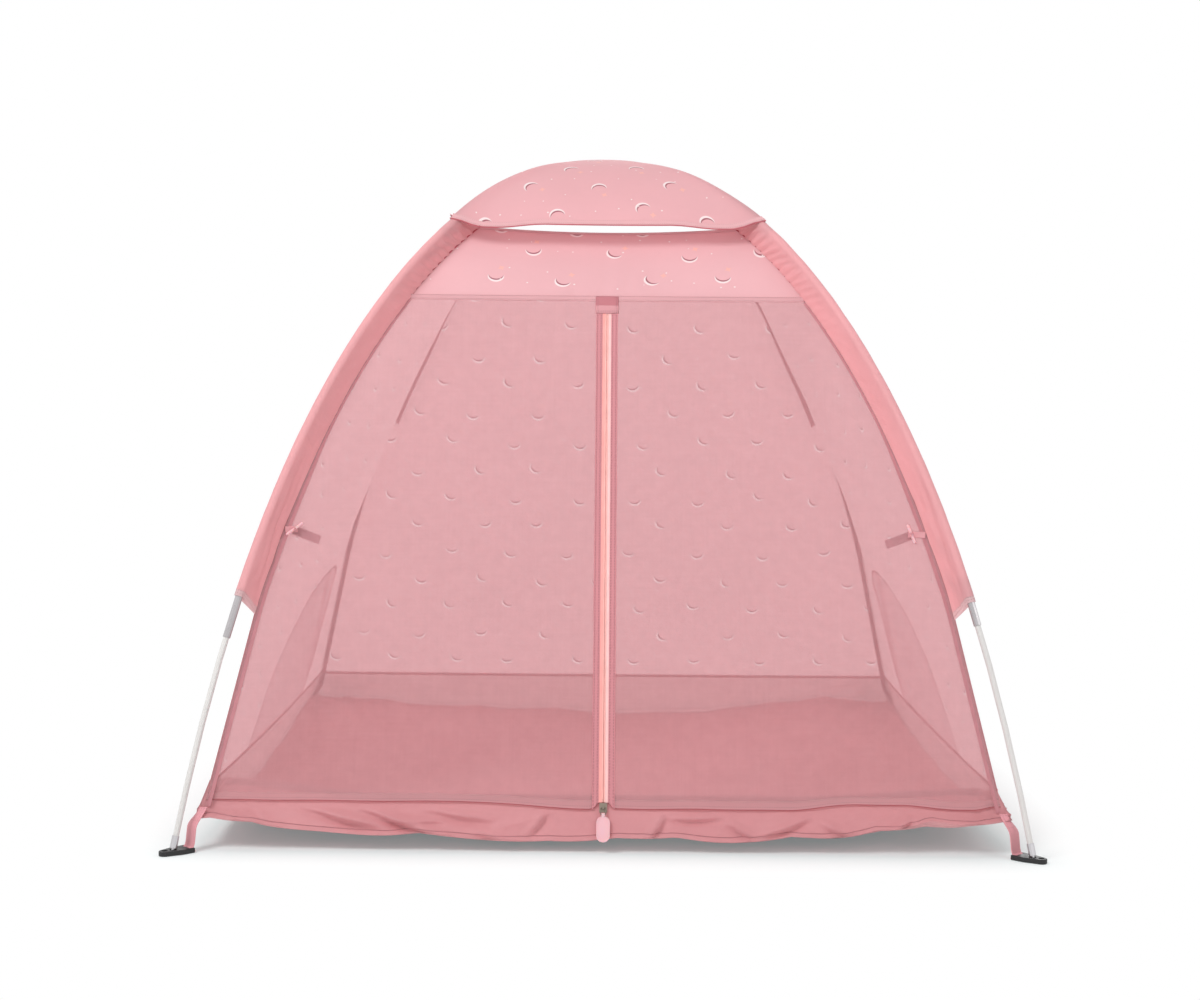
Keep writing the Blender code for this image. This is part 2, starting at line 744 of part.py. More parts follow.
def strip_ring(height, inside):
    """A ring of the groundsheet's turned-up strip. Its front stands behind the door's hem and slider."""
    half = half_span(height, inside)
    outer_half = half_span(height)
    setback = CLOTH + SLIDER_PLATE + 3 * GAP
    if inside:
        setback += CLOTH
    nearly = half * (1 - 1e-6)

    def place_at(x, y):
        if y <= -nearly:
            depth = -outer_half if abs(x) >= nearly else door_depth(height)
            return Vector((x, depth + setback, height))
        bow = EDGE_BOW * (1 - (min(abs(x), abs(y)) / half) ** 2)
        if y >= nearly:
            return Vector((x, y - bow, height))
        return Vector((math.copysign(half - bow, x), y + setback * max(-y / half, 0), height))

    return square_ring(half, place_at, fold_share(height))


def make_groundsheet():
    """The floor and its turned-up strip, as one tray."""
    outside, inside = [[Vector()]], [[Vector((0, 0, CLOTH))]]
    fold = fold_share(DOOR_HEM_HEIGHT)
    for k in range(1, FLOOR_RINGS + 1):
        half = FOLD_HALF_SPAN * k / FLOOR_RINGS
        inner = half - CLOTH if k == FLOOR_RINGS else half
        outside.append(square_ring(half, lambda x, y: Vector((x, y, floor_height(x, y))), fold))
        inside.append(square_ring(inner, lambda x, y: Vector((x, y, floor_height(x, y) + CLOTH)), fold))
    waist = DOOR_HEM_HEIGHT - (SLIDER_LENGTH + 3 * GAP) * DOOR_UP.z
    for height in (waist, STRIP_TOP - GAP / 2):
        outside.append(strip_ring(height, False))
        inside.append(strip_ring(height, True))
    place("groundsheet", dish(outside, inside), "plain_cloth")


def cap_grid(offset, top):
    """Rings of points round the cap, straight between the ridges over the four legs."""
    grid = [[Vector((0, 0, top))]]
    names = list(LEGS)
    for k in range(len(cap_reaches("front_left"))):
        ridge = {}
        for leg in names:
            spot = on_curve(cap_reaches(leg)[k], -offset)
            ridge[leg] = in_leg(leg, spot.x, spot.y)
        ring = []
        for leg, following in zip(names, names[1:] + names[:1]):
            ring += [ridge[leg].lerp(ridge[following], i / CAP_COLUMNS) for i in range(CAP_COLUMNS)]
        grid.append(ring)
    return grid


def make_cap():
    """The printed cap over the crossing. It lies on the sleeves, and on the upper pole at its middle."""
    offset = (SLEEVE_RADIUS + GAP) * CAP_STANDOFF_SHARE
    top = POLE_TOP + CROSSING_LIFT + POLE_RADIUS + GAP
    shape = dish(cap_grid(offset + CLOTH, top + CLOTH), cap_grid(offset, top))
    place("cap", shape, "print_cloth")


# Pole sleeves


def sleeve_ring(leg, middle, in_direction, tail):
    """A keyhole outline and its hole: the tunnel round the pole and the fin reaching in to the seam."""
    beside = leg_axes(leg)[1]
    half = CLOTH / 2
    root = math.asin(half / SLEEVE_RADIUS)
    step = math.tau / SLEEVE_SIDES
    angles = [step * i for i in range(1, SLEEVE_SIDES)]
    outline = [(tail, half), (SLEEVE_RADIUS * math.cos(root), half)]
    outline += [(SLEEVE_RADIUS * math.cos(a), SLEEVE_RADIUS * math.sin(a)) for a in angles]
    outline += [(SLEEVE_RADIUS * math.cos(root), -half), (tail, -half)]
    hole_angles = [step / 6, step / 3] + angles + [-step / 3, -step / 6]
    hole = [(SLEEVE_BORE * math.cos(a), SLEEVE_BORE * math.sin(a)) for a in hole_angles]
    return [[middle + in_direction * x + beside * y for x, y in ring] for ring in (outline, hole)]


def make_sleeve(leg):
    """A sleeve and its fin, from near the crossing down to the slanted end above the ferrule."""
    out = leg_axes(leg)[0]
    rings, bores = [], []
    for reach in sleeve_reaches(leg):
        middle = in_leg(leg, reach, pole_height(reach))
        in_direction = out * inward(reach).x + Vector((0, 0, inward(reach).y))
        full = reach > ROOF_REACH * (1 - 1e-6)
        tail = FIN_WIDTH - GAP if full else SLEEVE_RADIUS + FIN_TOP_STUB
        ring, bore = sleeve_ring(leg, middle, in_direction, tail)
        rings.append(ring)
        bores.append(bore)
    below = leg_reaches(leg)[-FOOT_STATIONS]
    run = (in_leg(leg, below, pole_height(below)) - middle).normalized()
    ring, bore = sleeve_ring(leg, middle + run * SLEEVE_HEM, in_direction, tail)
    slant_fin_end(leg, ring)
    place(f"sleeve_{leg}", tube(rings + [ring], bores + [bore]), "print_cloth")


def slant_fin_end(leg, ring):
    """Moves the fin's inner end down along the seam, so that its bottom edge slants."""
    start, foot = SEAM[len(wall_reaches()) - 1], SEAM[-1]
    run = (foot - start).normalized()
    spot = start + run * FIN_SLANT - Vector((run.y, -run.x)) * GAP
    for index, across in ((0, CLOTH / 2), (-1, -CLOTH / 2)):
        ring[index] = in_leg(leg, spot.x, spot.y, across)


# The door


def make_door_side(side):
    """The fixed outer part of a door leaf, between the fold line and the corner seam."""
    word = "left" if side < 0 else "right"
    fold_height = DOOR_HEM_HEIGHT + FOLD_TOP * DOOR_UP.z
    top = PANEL_HEM_HEIGHT - GAP / 2
    heights = sorted(set(levels(top, DOOR_HEM_HEIGHT) + [fold_height]), reverse=True)
    outside, inside = [], []
    for height in heights:
        up = (height - DOOR_HEM_HEIGHT) / DOOR_UP.z
        near = fold_side(up) + GAP / 2
        far = half_span(height) - MITRE
        half_in = half_span(height, True)
        row = [mix(near, far, i / DOOR_COLUMNS) for i in range(DOOR_COLUMNS + 1)]
        row_out = [Vector((x * side, front_depth(x, height), height)) for x in row]
        shift_near = Vector((0, CLOTH / DOOR_UP.z, 0))
        shift_far = Vector(((half_in - MITRE) * side, -half_in, height)) - row_out[-1]
        outside.append(row_out)
        inside.append([p + mix(shift_near, shift_far, i / DOOR_COLUMNS) for i, p in enumerate(row_out)])
    place(f"door_side_{word}", cloth(outside, inside), "net")


def fold_axis(side):
    """A place on a leaf's fold line, at its foot."""
    return door_point(DOOR_FOLD_HALF_SPAN * side, 0)


def make_door_flap(side):
    """The inner part of a door leaf, which folds back about the slanted fold line, and its zip tape."""
    word = "left" if side < 0 else "right"
    clear = GAP / 2 * math.hypot(FOLD_TOP, DOOR_FOLD_HALF_SPAN) / FOLD_TOP
    near = TAPE_EDGE + GAP
    outline = [
        (near * side, 0),
        ((fold_side(0) - clear) * side, 0),
        ((fold_side(TAPE_TOP) - clear) * side, TAPE_TOP),
        (near * side, TAPE_TOP),
    ]
    flap = prism(outline, -CLOTH, 0, DOOR_TURN, DOOR_FOOT)
    place(f"door_flap_{word}", flap, "net", fold_axis(side))
    inner, outer = sorted((ZIP_SLIT / 2 * side, TAPE_EDGE * side))
    tape = door_block(inner, outer, 0, TAPE_TOP, -CLOTH, 0)
    place(f"zip_tape_{word}", tape, "zip_tape", fold_axis(side))


def make_slider():
    """The metal slider: two plates joined by a post in the slit, and a lug with a cross hole."""
    origin = door_point(0, SLIDER_REST)
    back = -CLOTH - GAP
    wide, tall = SLIDER_WIDTH / 2, SLIDER_LENGTH / 2
    front = GAP + SLIDER_PLATE
    sink = SLIDER_PLATE / 2
    thin, slim, short = SLIDER_POST_WIDTH / 2, LUG_WIDTH / 2, LUG_LENGTH / 2
    front_plate = door_block(-wide, wide, -tall, tall, GAP, front, SLIDER_REST)
    slider = place("zip_slider", front_plate, "steel", origin)
    back_plate = door_block(-wide, wide, -tall, tall, back - SLIDER_PLATE, back, SLIDER_REST)
    post = door_block(-thin, thin, -tall / 2, tall / 2, back - sink, GAP + sink, SLIDER_REST)
    lug = door_block(-slim, slim, -short, short, GAP + sink, front + LUG_HEIGHT, SLIDER_REST)
    for name, shape in (("slider_back_plate", back_plate), ("slider_post", post), ("slider_lug", lug)):
        combine(slider, place(name, shape, "steel", origin), "UNION")
    pivot = door_point(0, SLIDER_REST, PIVOT_OUT)
    hole = cross_rod(pivot, LINK_WIRE_RADIUS + GAP, LUG_WIDTH)
    combine(slider, place("slider_hole", hole, "steel", origin), "DIFFERENCE")


def cross_rod(middle, radius, length):
    """A round rod across the door, longer than a given length by an overrun at each end."""
    start = middle - Vector((length / 2 + OVERRUN, 0, 0))
    profile = [(0, radius), (length + 2 * OVERRUN, radius)]
    return tube(turned(profile, start, Vector((1, 0, 0)), DOOR_UP, SMALL_SIDES))


def make_pull():
    """The wire link through the slider's lug, and the soft tab on the link's lower side."""
    pivot = door_point(0, SLIDER_REST, PIVOT_OUT)
    half = LINK_WIDTH / 2 - LINK_WIRE_RADIUS
    drop = LINK_LENGTH - 2 * LINK_WIRE_RADIUS
    bend = LINK_WIRE_RADIUS * 2
    middles = []
    for x, y, quarter in ((half, 0, 0), (-half, 0, 1), (-half, -drop, 2), (half, -drop, 3)):
        centre_x = x - math.copysign(bend, x)
        centre_y = y - bend if y == 0 else y + bend
        for step in range(3):
            turn = math.pi / 2 * (quarter + step / 2)
            middles.append((centre_x + bend * math.cos(turn), centre_y + bend * math.sin(turn)))
    rings = []
    count = len(middles)
    for i, (x, y) in enumerate(middles):
        ax, ay = middles[i - 1]
        bx, by = middles[(i + 1) % count]
        along = Vector((bx - ax, by - ay, 0)).normalized()
        side = Vector((along.y, -along.x, 0))
        spot = Vector((x, y, 0))
        ring = [spot + side * u + Vector((0, 0, v)) for u, v in circle(LINK_WIRE_RADIUS, POLE_SIDES)]
        rings.append([pivot + DOOR_TURN @ p for p in ring])
    shape = bmesh.new()
    verts = [[shape.verts.new(p) for p in ring] for ring in rings]
    skin(shape, verts + verts[:1], True)
    place("zip_pull", shape, "steel", pivot, smooth=True)
    make_tab(pivot, drop)


def tab_sides(top, shrink):
    """Both sides of the tab's rounded outline, right from below and left from above, set in by shrink."""
    radius = TAB_CORNER_RADIUS - shrink
    half = TAB_WIDTH / 2 - TAB_CORNER_RADIUS
    high = top - TAB_CORNER_RADIUS
    low = top - TAB_LENGTH + TAB_CORNER_RADIUS
    right = corner_arc(half, low, 3, radius) + corner_arc(half, high, 0, radius)
    left = corner_arc(-half, high, 1, radius) + corner_arc(-half, low, 2, radius)
    return right, left


def make_tab(pivot, drop):
    """The soft tab, with a shallow recess in its face and a neck that holds the link."""
    top = -drop - TAB_NECK_LENGTH / 2
    neck = TAB_NECK_WIDTH / 2
    neck_top = -drop + TAB_NECK_LENGTH / 2
    right, left = tab_sides(top, 0)
    outline = right + [(neck, top), (neck, neck_top), (-neck, neck_top), (-neck, top)] + left
    face = TAB_THICKNESS / 2
    tab = prism(outline, -face, face, DOOR_TURN, pivot)
    body = place("zip_tab", tab, "soft_plastic", pivot)
    right, left = tab_sides(top, TAB_RIM)
    recess = prism(right + left, face - TAB_RECESS, face + OVERRUN, DOOR_TURN, pivot)
    combine(body, place("zip_tab_recess", recess, "soft_plastic", pivot), "DIFFERENCE")
    bar = pivot - DOOR_UP * drop
    hole = cross_rod(bar, LINK_WIRE_RADIUS + GAP, TAB_NECK_WIDTH)
    combine(body, place("zip_tab_hole", hole, "soft_plastic", pivot), "DIFFERENCE")


def corner_arc(x, y, quarter, radius):
    """A quarter circle about a place, from a number of quarter turns on."""
    turns = [math.pi / 2 * (quarter + step / 3) for step in range(4)]
    return [(x + radius * math.cos(a), y + radius * math.sin(a)) for a in turns]


# The ties


def surface_frame(obj, guess):
    """The nearest place on a piece's outer face, with axes across it, up it and out of it."""
    _, spot, normal, _ = obj.closest_point_on_mesh(guess - obj.location)
    out = normal.normalized()
    if out.y > 0:
        out = -out
    across = Vector((out.y, -out.x, 0)).normalized()
    if across.x < 0:
        across = -across
    up = out.cross(across)
    turn = Matrix((across, up, out)).transposed()
    return spot + obj.location, turn


def make_tie(side):
    """A toggle on a short strip outside the corner seam, and a strap behind the net."""
    word = "left" if side < 0 else "right"
    leaf = bpy.data.objects[f"door_side_{word}"]
    x = (half_span(TIE_HEIGHT) - TIE_INSETS[word]) * side
    guess = Vector((x, front_depth(abs(x), TIE_HEIGHT), TIE_HEIGHT)) + DOOR_OUT * CLOTH
    spot, turn = surface_frame(leaf, guess)
    lift = CLOTH / 2
    strip_top = lift + TIE_STRIP_THICKNESS
    inner = Vector((-TIE_STRIP_LENGTH / 2, -TIE_STRIP_WIDTH / 2, lift))
    outer = Vector((TIE_STRIP_LENGTH / 2, TIE_STRIP_WIDTH / 2, strip_top))
    loop = place(f"tie_loop_{word}", block(inner, outer, turn, spot), "webbing", spot)
    bar_low = strip_top + GAP
    bar_middle = bar_low + TOGGLE_RADIUS
    knot_low = bar_middle + TOGGLE_RADIUS + GAP
    out = turn.col[2]
    stem = [
        (lift + TIE_STRIP_THICKNESS / 2, TIE_CORD_RADIUS),
        (knot_low, TIE_CORD_RADIUS),
        (knot_low, TIE_KNOT_RADIUS),
        (knot_low + TIE_KNOT_THICKNESS, TIE_KNOT_RADIUS),
    ]
    cord = tube(turned(stem, spot, out, turn.col[0], SMALL_SIDES))
    combine(loop, place(f"tie_cord_{word}", cord, "webbing", spot), "UNION")
    make_toggle(word, spot + out * bar_middle, turn)
    make_strap(word, spot, turn, side)


def make_toggle(word, middle, turn):
    """A round bar with rounded ends and a cross hole for the tie's cord."""
    tilt = TOGGLE_TILTS[word]
    along = turn @ Vector((-math.sin(tilt), math.cos(tilt), 0))
    half = TOGGLE_LENGTH / 2
    end = TOGGLE_RADIUS / 2
    profile = [
        (-half, TOGGLE_RADIUS - end),
        (-half + end, TOGGLE_RADIUS),
        (half - end, TOGGLE_RADIUS),
        (half, TOGGLE_RADIUS - end),
    ]
    out = turn.col[2]
    bar = place(f"toggle_{word}", tube(turned(profile, middle, along, out, SMALL_SIDES)), "soft_plastic", middle)
    reach = TOGGLE_RADIUS + OVERRUN
    start = middle - out * reach
    drill = turned([(0, TIE_CORD_RADIUS + GAP), (2 * reach, TIE_CORD_RADIUS + GAP)], start, out, along, SMALL_SIDES)
    combine(bar, place(f"toggle_hole_{word}", tube(drill), "soft_plastic", middle), "DIFFERENCE")


def make_strap(word, spot, turn, side):
    """The strap behind the net, that goes round the rolled leaf."""
    tilt = Matrix.Rotation(STRAP_TILT * side, 3, "Z")
    low = -CLOTH * 2 - TIE_STRIP_THICKNESS
    high = -CLOTH * 2
    near, far = sorted((0, -STRAP_LENGTH * side))
    shape = block(
        Vector((near, -STRAP_WIDTH / 2, low)), Vector((far, STRAP_WIDTH / 2, high)), turn @ tilt, spot
    )
    place(f"tie_strap_{word}", shape, "webbing", spot)


# Corner clips and webbing


def clip_places():
    """Reaches of the clip's parts: its inner edge, both sides of its slot, its eyelet and its peg hole."""
    tip_line = leg_reaches("back_left")[-2:]
    slope = (tip_line[1] - tip_line[0]) / pole_height(tip_line[0])
    eyelet = FOOT_REACH - slope * CLIP_HEIGHT / 2
    slot_out = eyelet - EYELET_RADIUS - CLIP_BRIDGE
    slot_in = slot_out - CLIP_SLOT
    peg = eyelet + EYELET_RADIUS + EYELET_WALL + PEG_HOLE_RADIUS
    return slot_in - CLIP_BAR_WIDTH, slot_in, slot_out, eyelet, peg


def clip_outline():
    """The clip in plan, as (reach, across): square at the bar, narrowing to the ring for the peg."""
    inner, _, _, eyelet, peg = clip_places()
    half = CLIP_WIDTH / 2
    ring = PEG_HOLE_RADIUS + PEG_RING_WALL
    nose = [math.pi / 2 - math.pi * i / 8 for i in range(9)]
    outline = [(inner, -half), (inner, half)]
    outline += [(eyelet - EYELET_RADIUS - EYELET_WALL, half)]
    outline += [(peg + ring * math.cos(a), ring * math.sin(a)) for a in nose]
    outline += [(eyelet - EYELET_RADIUS - EYELET_WALL, -half)]
    return outline


def make_clip(leg):
    """The black plastic clip on the ground, with its webbing slot, its eyelet and its peg hole."""
    out, beside = leg_axes(leg)
    turn = Matrix((out, beside, out.cross(beside))).transposed()
    inner, slot_in, slot_out, eyelet, peg = clip_places()
    name = f"corner_clip_{leg}"
    clip = place(name, prism(clip_outline(), 0, CLIP_HEIGHT, turn), "black_plastic")
    bevel = clip.modifiers.new("edges", "BEVEL")
    bevel.width = CLIP_BEVEL
    bevel.segments = 1
    half = CLIP_WIDTH / 2 - CLIP_WALL
    low, high = -OVERRUN, CLIP_HEIGHT + OVERRUN
    slot = block(Vector((slot_in, -half, low)), Vector((slot_out, half, high)), turn)
    start = inner - OVERRUN
    under = block(Vector((start, -half, low)), Vector((slot_in + GAP, half, CLIP_BAR_BOTTOM)), turn)
    over = block(Vector((start, -half, CLIP_BAR_TOP)), Vector((slot_in + GAP, half, high)), turn)
    pin_hole = prism(circle(EYELET_RADIUS, ROUND_SIDES, (eyelet, 0)), low, high, turn)
    peg_hole = prism(circle(PEG_HOLE_RADIUS, ROUND_SIDES, (peg, 0)), low, high, turn)
    cutters = {"slot": slot, "under_bar": under, "over_bar": over, "pin_hole": pin_hole, "peg_hole": peg_hole}
    for word, shape in cutters.items():
        combine(clip, place(f"{name}_{word}", shape, "black_plastic"), "DIFFERENCE")


def ribbon(line, thickness):
    """The outline of a bent strip of even thickness along a line of (reach, height) points."""
    normals = []
    for a, b in zip(line, line[1:]):
        run = (b - a).normalized()
        normals.append(Vector((-run.y, run.x)))
    offsets = [normals[0]]
    for a, b in zip(normals, normals[1:]):
        middle = (a + b).normalized()
        offsets.append(middle / middle.dot(a))
    offsets.append(normals[-1])
    half = thickness / 2
    left = [p + o * half for p, o in zip(line, offsets)]
    right = [p - o * half for p, o in zip(line, offsets)]
    return left + right[::-1]


def make_webbing(leg):
    """The webbing sewn down the corner, which goes over the clip's bar, down its slot and back under it."""
    inner, slot_in = clip_places()[:2]
    half = WEBBING_THICKNESS / 2
    off = GAP + half
    fold = Vector((FOLD_HALF_SPAN * DIAGONAL, CORNER_LIFT))
    above = Vector((half_span(fold.y + WEBBING_LAP) * DIAGONAL, fold.y + WEBBING_LAP))
    side = Vector((GAP + half, 0))
    bar_in = inner - GAP - half
    bar_out = slot_in + GAP + half
    line = [
        above + side,
        fold + side,
        Vector((inner, CLIP_BAR_TOP + off)),
        Vector((bar_out, CLIP_BAR_TOP + off)),
        Vector((bar_out, CLIP_BAR_BOTTOM - off)),
        Vector((bar_in, CLIP_BAR_BOTTOM - off)),
    ]
    out, beside = leg_axes(leg)
    upright = Matrix((out, Vector((0, 0, 1)), beside)).transposed()
    outline = [(p.x, p.y) for p in ribbon(line, WEBBING_THICKNESS)]
    shape = prism(outline, -WEBBING_WIDTH / 2, WEBBING_WIDTH / 2, upright)
    place(f"corner_webbing_{leg}", shape, "webbing")


def main():
    clear_scene()
    make_pole("upper_pole", "front_left", "back_right", CROSSING_LIFT)
    make_pole("lower_pole", "front_right", "back_left", -CROSSING_LIFT)
    for leg in LEGS:
        make_sleeve(leg)
        make_clip(leg)
        make_webbing(leg)
    make_groundsheet()
    make_back_wall()
    make_front_top_panel()
    make_roof_net()
    make_cap()
    for side in (-1, 1):
        make_side_wall(side)
        make_door_side(side)
        make_door_flap(side)
        make_tie(side)
    make_slider()
    make_pull()


main()
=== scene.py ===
import math

import bmesh
import bpy
import numpy as np
from mathutils import Matrix, Vector, noise


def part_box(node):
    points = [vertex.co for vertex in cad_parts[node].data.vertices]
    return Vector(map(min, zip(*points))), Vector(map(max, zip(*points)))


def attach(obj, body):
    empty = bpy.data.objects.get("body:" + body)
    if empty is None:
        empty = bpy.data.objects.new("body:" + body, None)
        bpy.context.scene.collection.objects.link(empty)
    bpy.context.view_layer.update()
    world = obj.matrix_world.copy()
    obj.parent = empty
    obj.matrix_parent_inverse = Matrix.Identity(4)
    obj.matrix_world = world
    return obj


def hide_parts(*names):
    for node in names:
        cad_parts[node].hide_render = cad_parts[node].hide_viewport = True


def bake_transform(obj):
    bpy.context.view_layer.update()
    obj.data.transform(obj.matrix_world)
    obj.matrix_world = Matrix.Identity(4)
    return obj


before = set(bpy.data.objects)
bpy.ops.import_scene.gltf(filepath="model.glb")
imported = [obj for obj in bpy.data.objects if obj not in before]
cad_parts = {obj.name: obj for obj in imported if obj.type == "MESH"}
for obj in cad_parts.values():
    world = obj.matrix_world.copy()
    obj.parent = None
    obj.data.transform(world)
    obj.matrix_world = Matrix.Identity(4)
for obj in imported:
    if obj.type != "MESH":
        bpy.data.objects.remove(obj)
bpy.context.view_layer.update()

# Sizes of the tent in metres, and the powers and share of its poles' curve, as in the part's source

DIAGONAL = math.sqrt(2)
FOOT_REACH = 0.60 * DIAGONAL
POLE_TOP = 1.019
ARCH_POWER = 2.16
SHOULDER_POWER = 7.9
SHOULDER_SHARE = 0.20
FIN_WIDTH = 0.034
FIN_SLANT = 0.015
SLEEVE_END = 0.353
SLEEVE_RADIUS = 0.0070
ROOF = 0.905
ROOF_SAG = 0.008
PANEL_HEM = 0.790
CORNER_HALF = 0.565
CORNER_HEIGHT = 0.050
STRIP_TOP = 0.090
EDGE_BOW = 0.006
FOLD_HALF = 0.570
CORNER_LIFT = 0.038
DOOR_HEM = 0.068
DOOR_TOP_BOW = 0.009
DOOR_HEM_BOW = 0.007
DOOR_FOLD_HALF = 0.550
CAP_FRONT = 0.240
CAP_BACK = 0.170
WINDOW_HALF = 0.280
WINDOW_TOP = 0.350
SLIDER_LENGTH = 0.013
TAPE_EDGE = 0.0070
TIE_HEIGHT = 0.445

# Pitches of the net's and the cloth's threads, and the points on each side of the groundsheet's rings

NET_PITCH = 0.00092
WEAVE_PITCH = 0.0011
RING_SIDE = 220

LEGS = {"front_left": (-1, -1), "front_right": (1, -1), "back_right": (1, 1), "back_left": (-1, 1)}
SIDES = {-1: "left", 1: "right"}


# Curves


def pole_height(reach):
    """Height of a pole at a distance from the middle, measured along the floor under it."""
    share = reach / FOOT_REACH
    return POLE_TOP * (1 - (1 - SHOULDER_SHARE) * share**ARCH_POWER - SHOULDER_SHARE * share**SHOULDER_POWER)


def inward(reach):
    """The way from a pole into the tent, square to the pole."""
    share = max(reach, 1e-6) / FOOT_REACH
    arch = (1 - SHOULDER_SHARE) * ARCH_POWER * share ** (ARCH_POWER - 1)
    shoulder = SHOULDER_SHARE * SHOULDER_POWER * share ** (SHOULDER_POWER - 1)
    return Vector((-POLE_TOP / FOOT_REACH * (arch + shoulder), -1)).normalized()


def on_curve(reach, offset):
    return Vector((reach, pole_height(reach))) + inward(reach) * offset


def reach_where(rule, goal):
    """The distance from the middle where a falling height comes down to a goal."""
    low, high = 0.0, FOOT_REACH
    for _ in range(60):
        middle = (low + high) / 2
        if rule(middle) > goal:
            low = middle
        else:
            high = middle
    return low


ROOF_REACH = reach_where(lambda r: on_curve(r, FIN_WIDTH).y, ROOF)
SLEEVE_END_REACH = reach_where(pole_height, SLEEVE_END)
SEAM_FOOT = Vector((CORNER_HALF * DIAGONAL, CORNER_HEIGHT))
SEAM = [on_curve(r, FIN_WIDTH) for r in np.linspace(ROOF_REACH, SLEEVE_END_REACH, 160)]
FIN_END = SEAM[-1]
SEAM += [FIN_END.lerp(SEAM_FOOT, k / 30) for k in range(1, 31)]
SEAM_Z = np.array([p.y for p in SEAM])[::-1]
SEAM_X = np.array([p.x for p in SEAM])[::-1] / DIAGONAL
FOOT_SLOPE = (SEAM_X[1] - SEAM_X[0]) / (SEAM_Z[1] - SEAM_Z[0])


def half_span(z):
    """Half the width between the body's corner seams at a height."""
    if z < SEAM_Z[0]:
        return float(SEAM_X[0] + (z - SEAM_Z[0]) * FOOT_SLOPE)
    return float(np.interp(z, SEAM_Z, SEAM_X))


def smooth(edge_a, edge_b, x):
    """A soft step from 0 at one edge to 1 at the other."""
    t = min(max((x - edge_a) / (edge_b - edge_a), 0.0), 1.0)
    return t * t * (3 - 2 * t)


def noise_at(x, y, z):
    return noise.noise(Vector((x, y, z)))


def rough(x, y, z, scale, seed=0.0):
    return noise_at(x * scale + seed, y * scale - seed * 0.7, z * scale + seed * 1.3)


def leg_ways(leg):
    """The ways out along a leg and across it."""
    x, y = LEGS[leg]
    return Vector((x, y, 0)) / DIAGONAL, Vector((-y, x, 0)) / DIAGONAL


def in_leg(leg, reach, height):
    """A place over a leg's line on the floor, from its distance and height."""
    return leg_ways(leg)[0] * reach + Vector((0, 0, height))


# The door's plane

DOOR_TOP = Vector((0, DOOR_TOP_BOW - half_span(PANEL_HEM), PANEL_HEM))
DOOR_FOOT = Vector((0, DOOR_HEM_BOW - half_span(DOOR_HEM), DOOR_HEM))
DOOR_UP = (DOOR_TOP - DOOR_FOOT).normalized()
DOOR_OUT = Vector((0, -DOOR_UP.z, DOOR_UP.y))
DOOR_LENGTH = (DOOR_TOP - DOOR_FOOT).length
PATCH_FOOT = DOOR_LENGTH - 0.025
FOLD_TOP = PATCH_FOOT - SLIDER_LENGTH - 0.0006
FOLD_TOP_SIDE = TAPE_EDGE + 0.0003


def door_point(x, up, out=0.0):
    return DOOR_FOOT + Vector((x, 0, 0)) + DOOR_UP * up + DOOR_OUT * out


def fold_side(up):
    """How far from the zip a leaf's fold line is, at a place up the zip."""
    share = 1 - up / FOLD_TOP
    return FOLD_TOP_SIDE + (DOOR_FOLD_HALF - FOLD_TOP_SIDE) * share if share > 0 else FOLD_TOP_SIDE


def front_depth(x, z):
    """How far back the front is: flat between the fold lines, then curving out to the corner seams."""
    up = (z - DOOR_HEM) / DOOR_UP.z
    fold = fold_side(max(up, 0))
    half = half_span(z)
    share = max((abs(x) - fold) / (half - fold), 0)
    plane = DOOR_FOOT.y + (DOOR_TOP.y - DOOR_FOOT.y) * (z - DOOR_HEM) / (PANEL_HEM - DOOR_HEM)
    return plane + (-half - plane) * share ** (1 + up / DOOR_LENGTH)


def door_wave(side, x, up):
    """Small waves in the net: puckers along the zip and the hem, and slack by the corners."""
    seed = 3.0 if side < 0 else 9.0
    slack = rough(x * 0.8, up, 0, 7.0, seed) * 0.0016
    zip_pucker = rough(x * 2, up * 1.4, 0, 22.0, seed + 1) * 0.0012 * math.exp(-x / 0.07)
    hem = rough(x * 1.2, 0.0, 0, 16.0, seed + 2) * 0.0030 * math.exp(-up / 0.05)
    edge = smooth(0.0, 0.05, half_span(DOOR_HEM + up * DOOR_UP.z) - x)
    top = smooth(0.0, 0.05, DOOR_LENGTH - up)
    return (slack + zip_pucker + abs(hem)) * smooth(0.012, 0.05, x) * edge * top


def door_at(side, x, up, lift=0.0):
    """A place on a door leaf, whose hem droops a little beside the zip and at the right corner."""
    z = DOOR_HEM + up * DOOR_UP.z
    across = x * side
    low = 0.009 * smooth(-0.21, -0.03, across) * (1 - smooth(0.26, 0.36, across))
    low += 0.007 * smooth(0.42, 0.50, across)
    low += 0.0016 * rough(x, 0, 0, 14.0, 5.0 if side < 0 else 8.0)
    drop = -low * math.exp(-up / 0.04) * smooth(0.0072, 0.0150, x) * smooth(0, 0.04, half_span(z) - x)
    spot = Vector((across, front_depth(x, z), z))
    return spot + DOOR_OUT * (door_wave(side, x, up) + lift) + DOOR_UP * drop


# Meshes


def finish_mesh(obj, material, body, smooth_angle=None):
    obj.data.materials.clear()
    obj.data.materials.append(material)
    obj.data.shade_smooth()
    if smooth_angle is not None:
        obj.data.set_sharp_from_angle(angle=math.radians(smooth_angle))
    if body:
        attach(obj, body)
    return obj


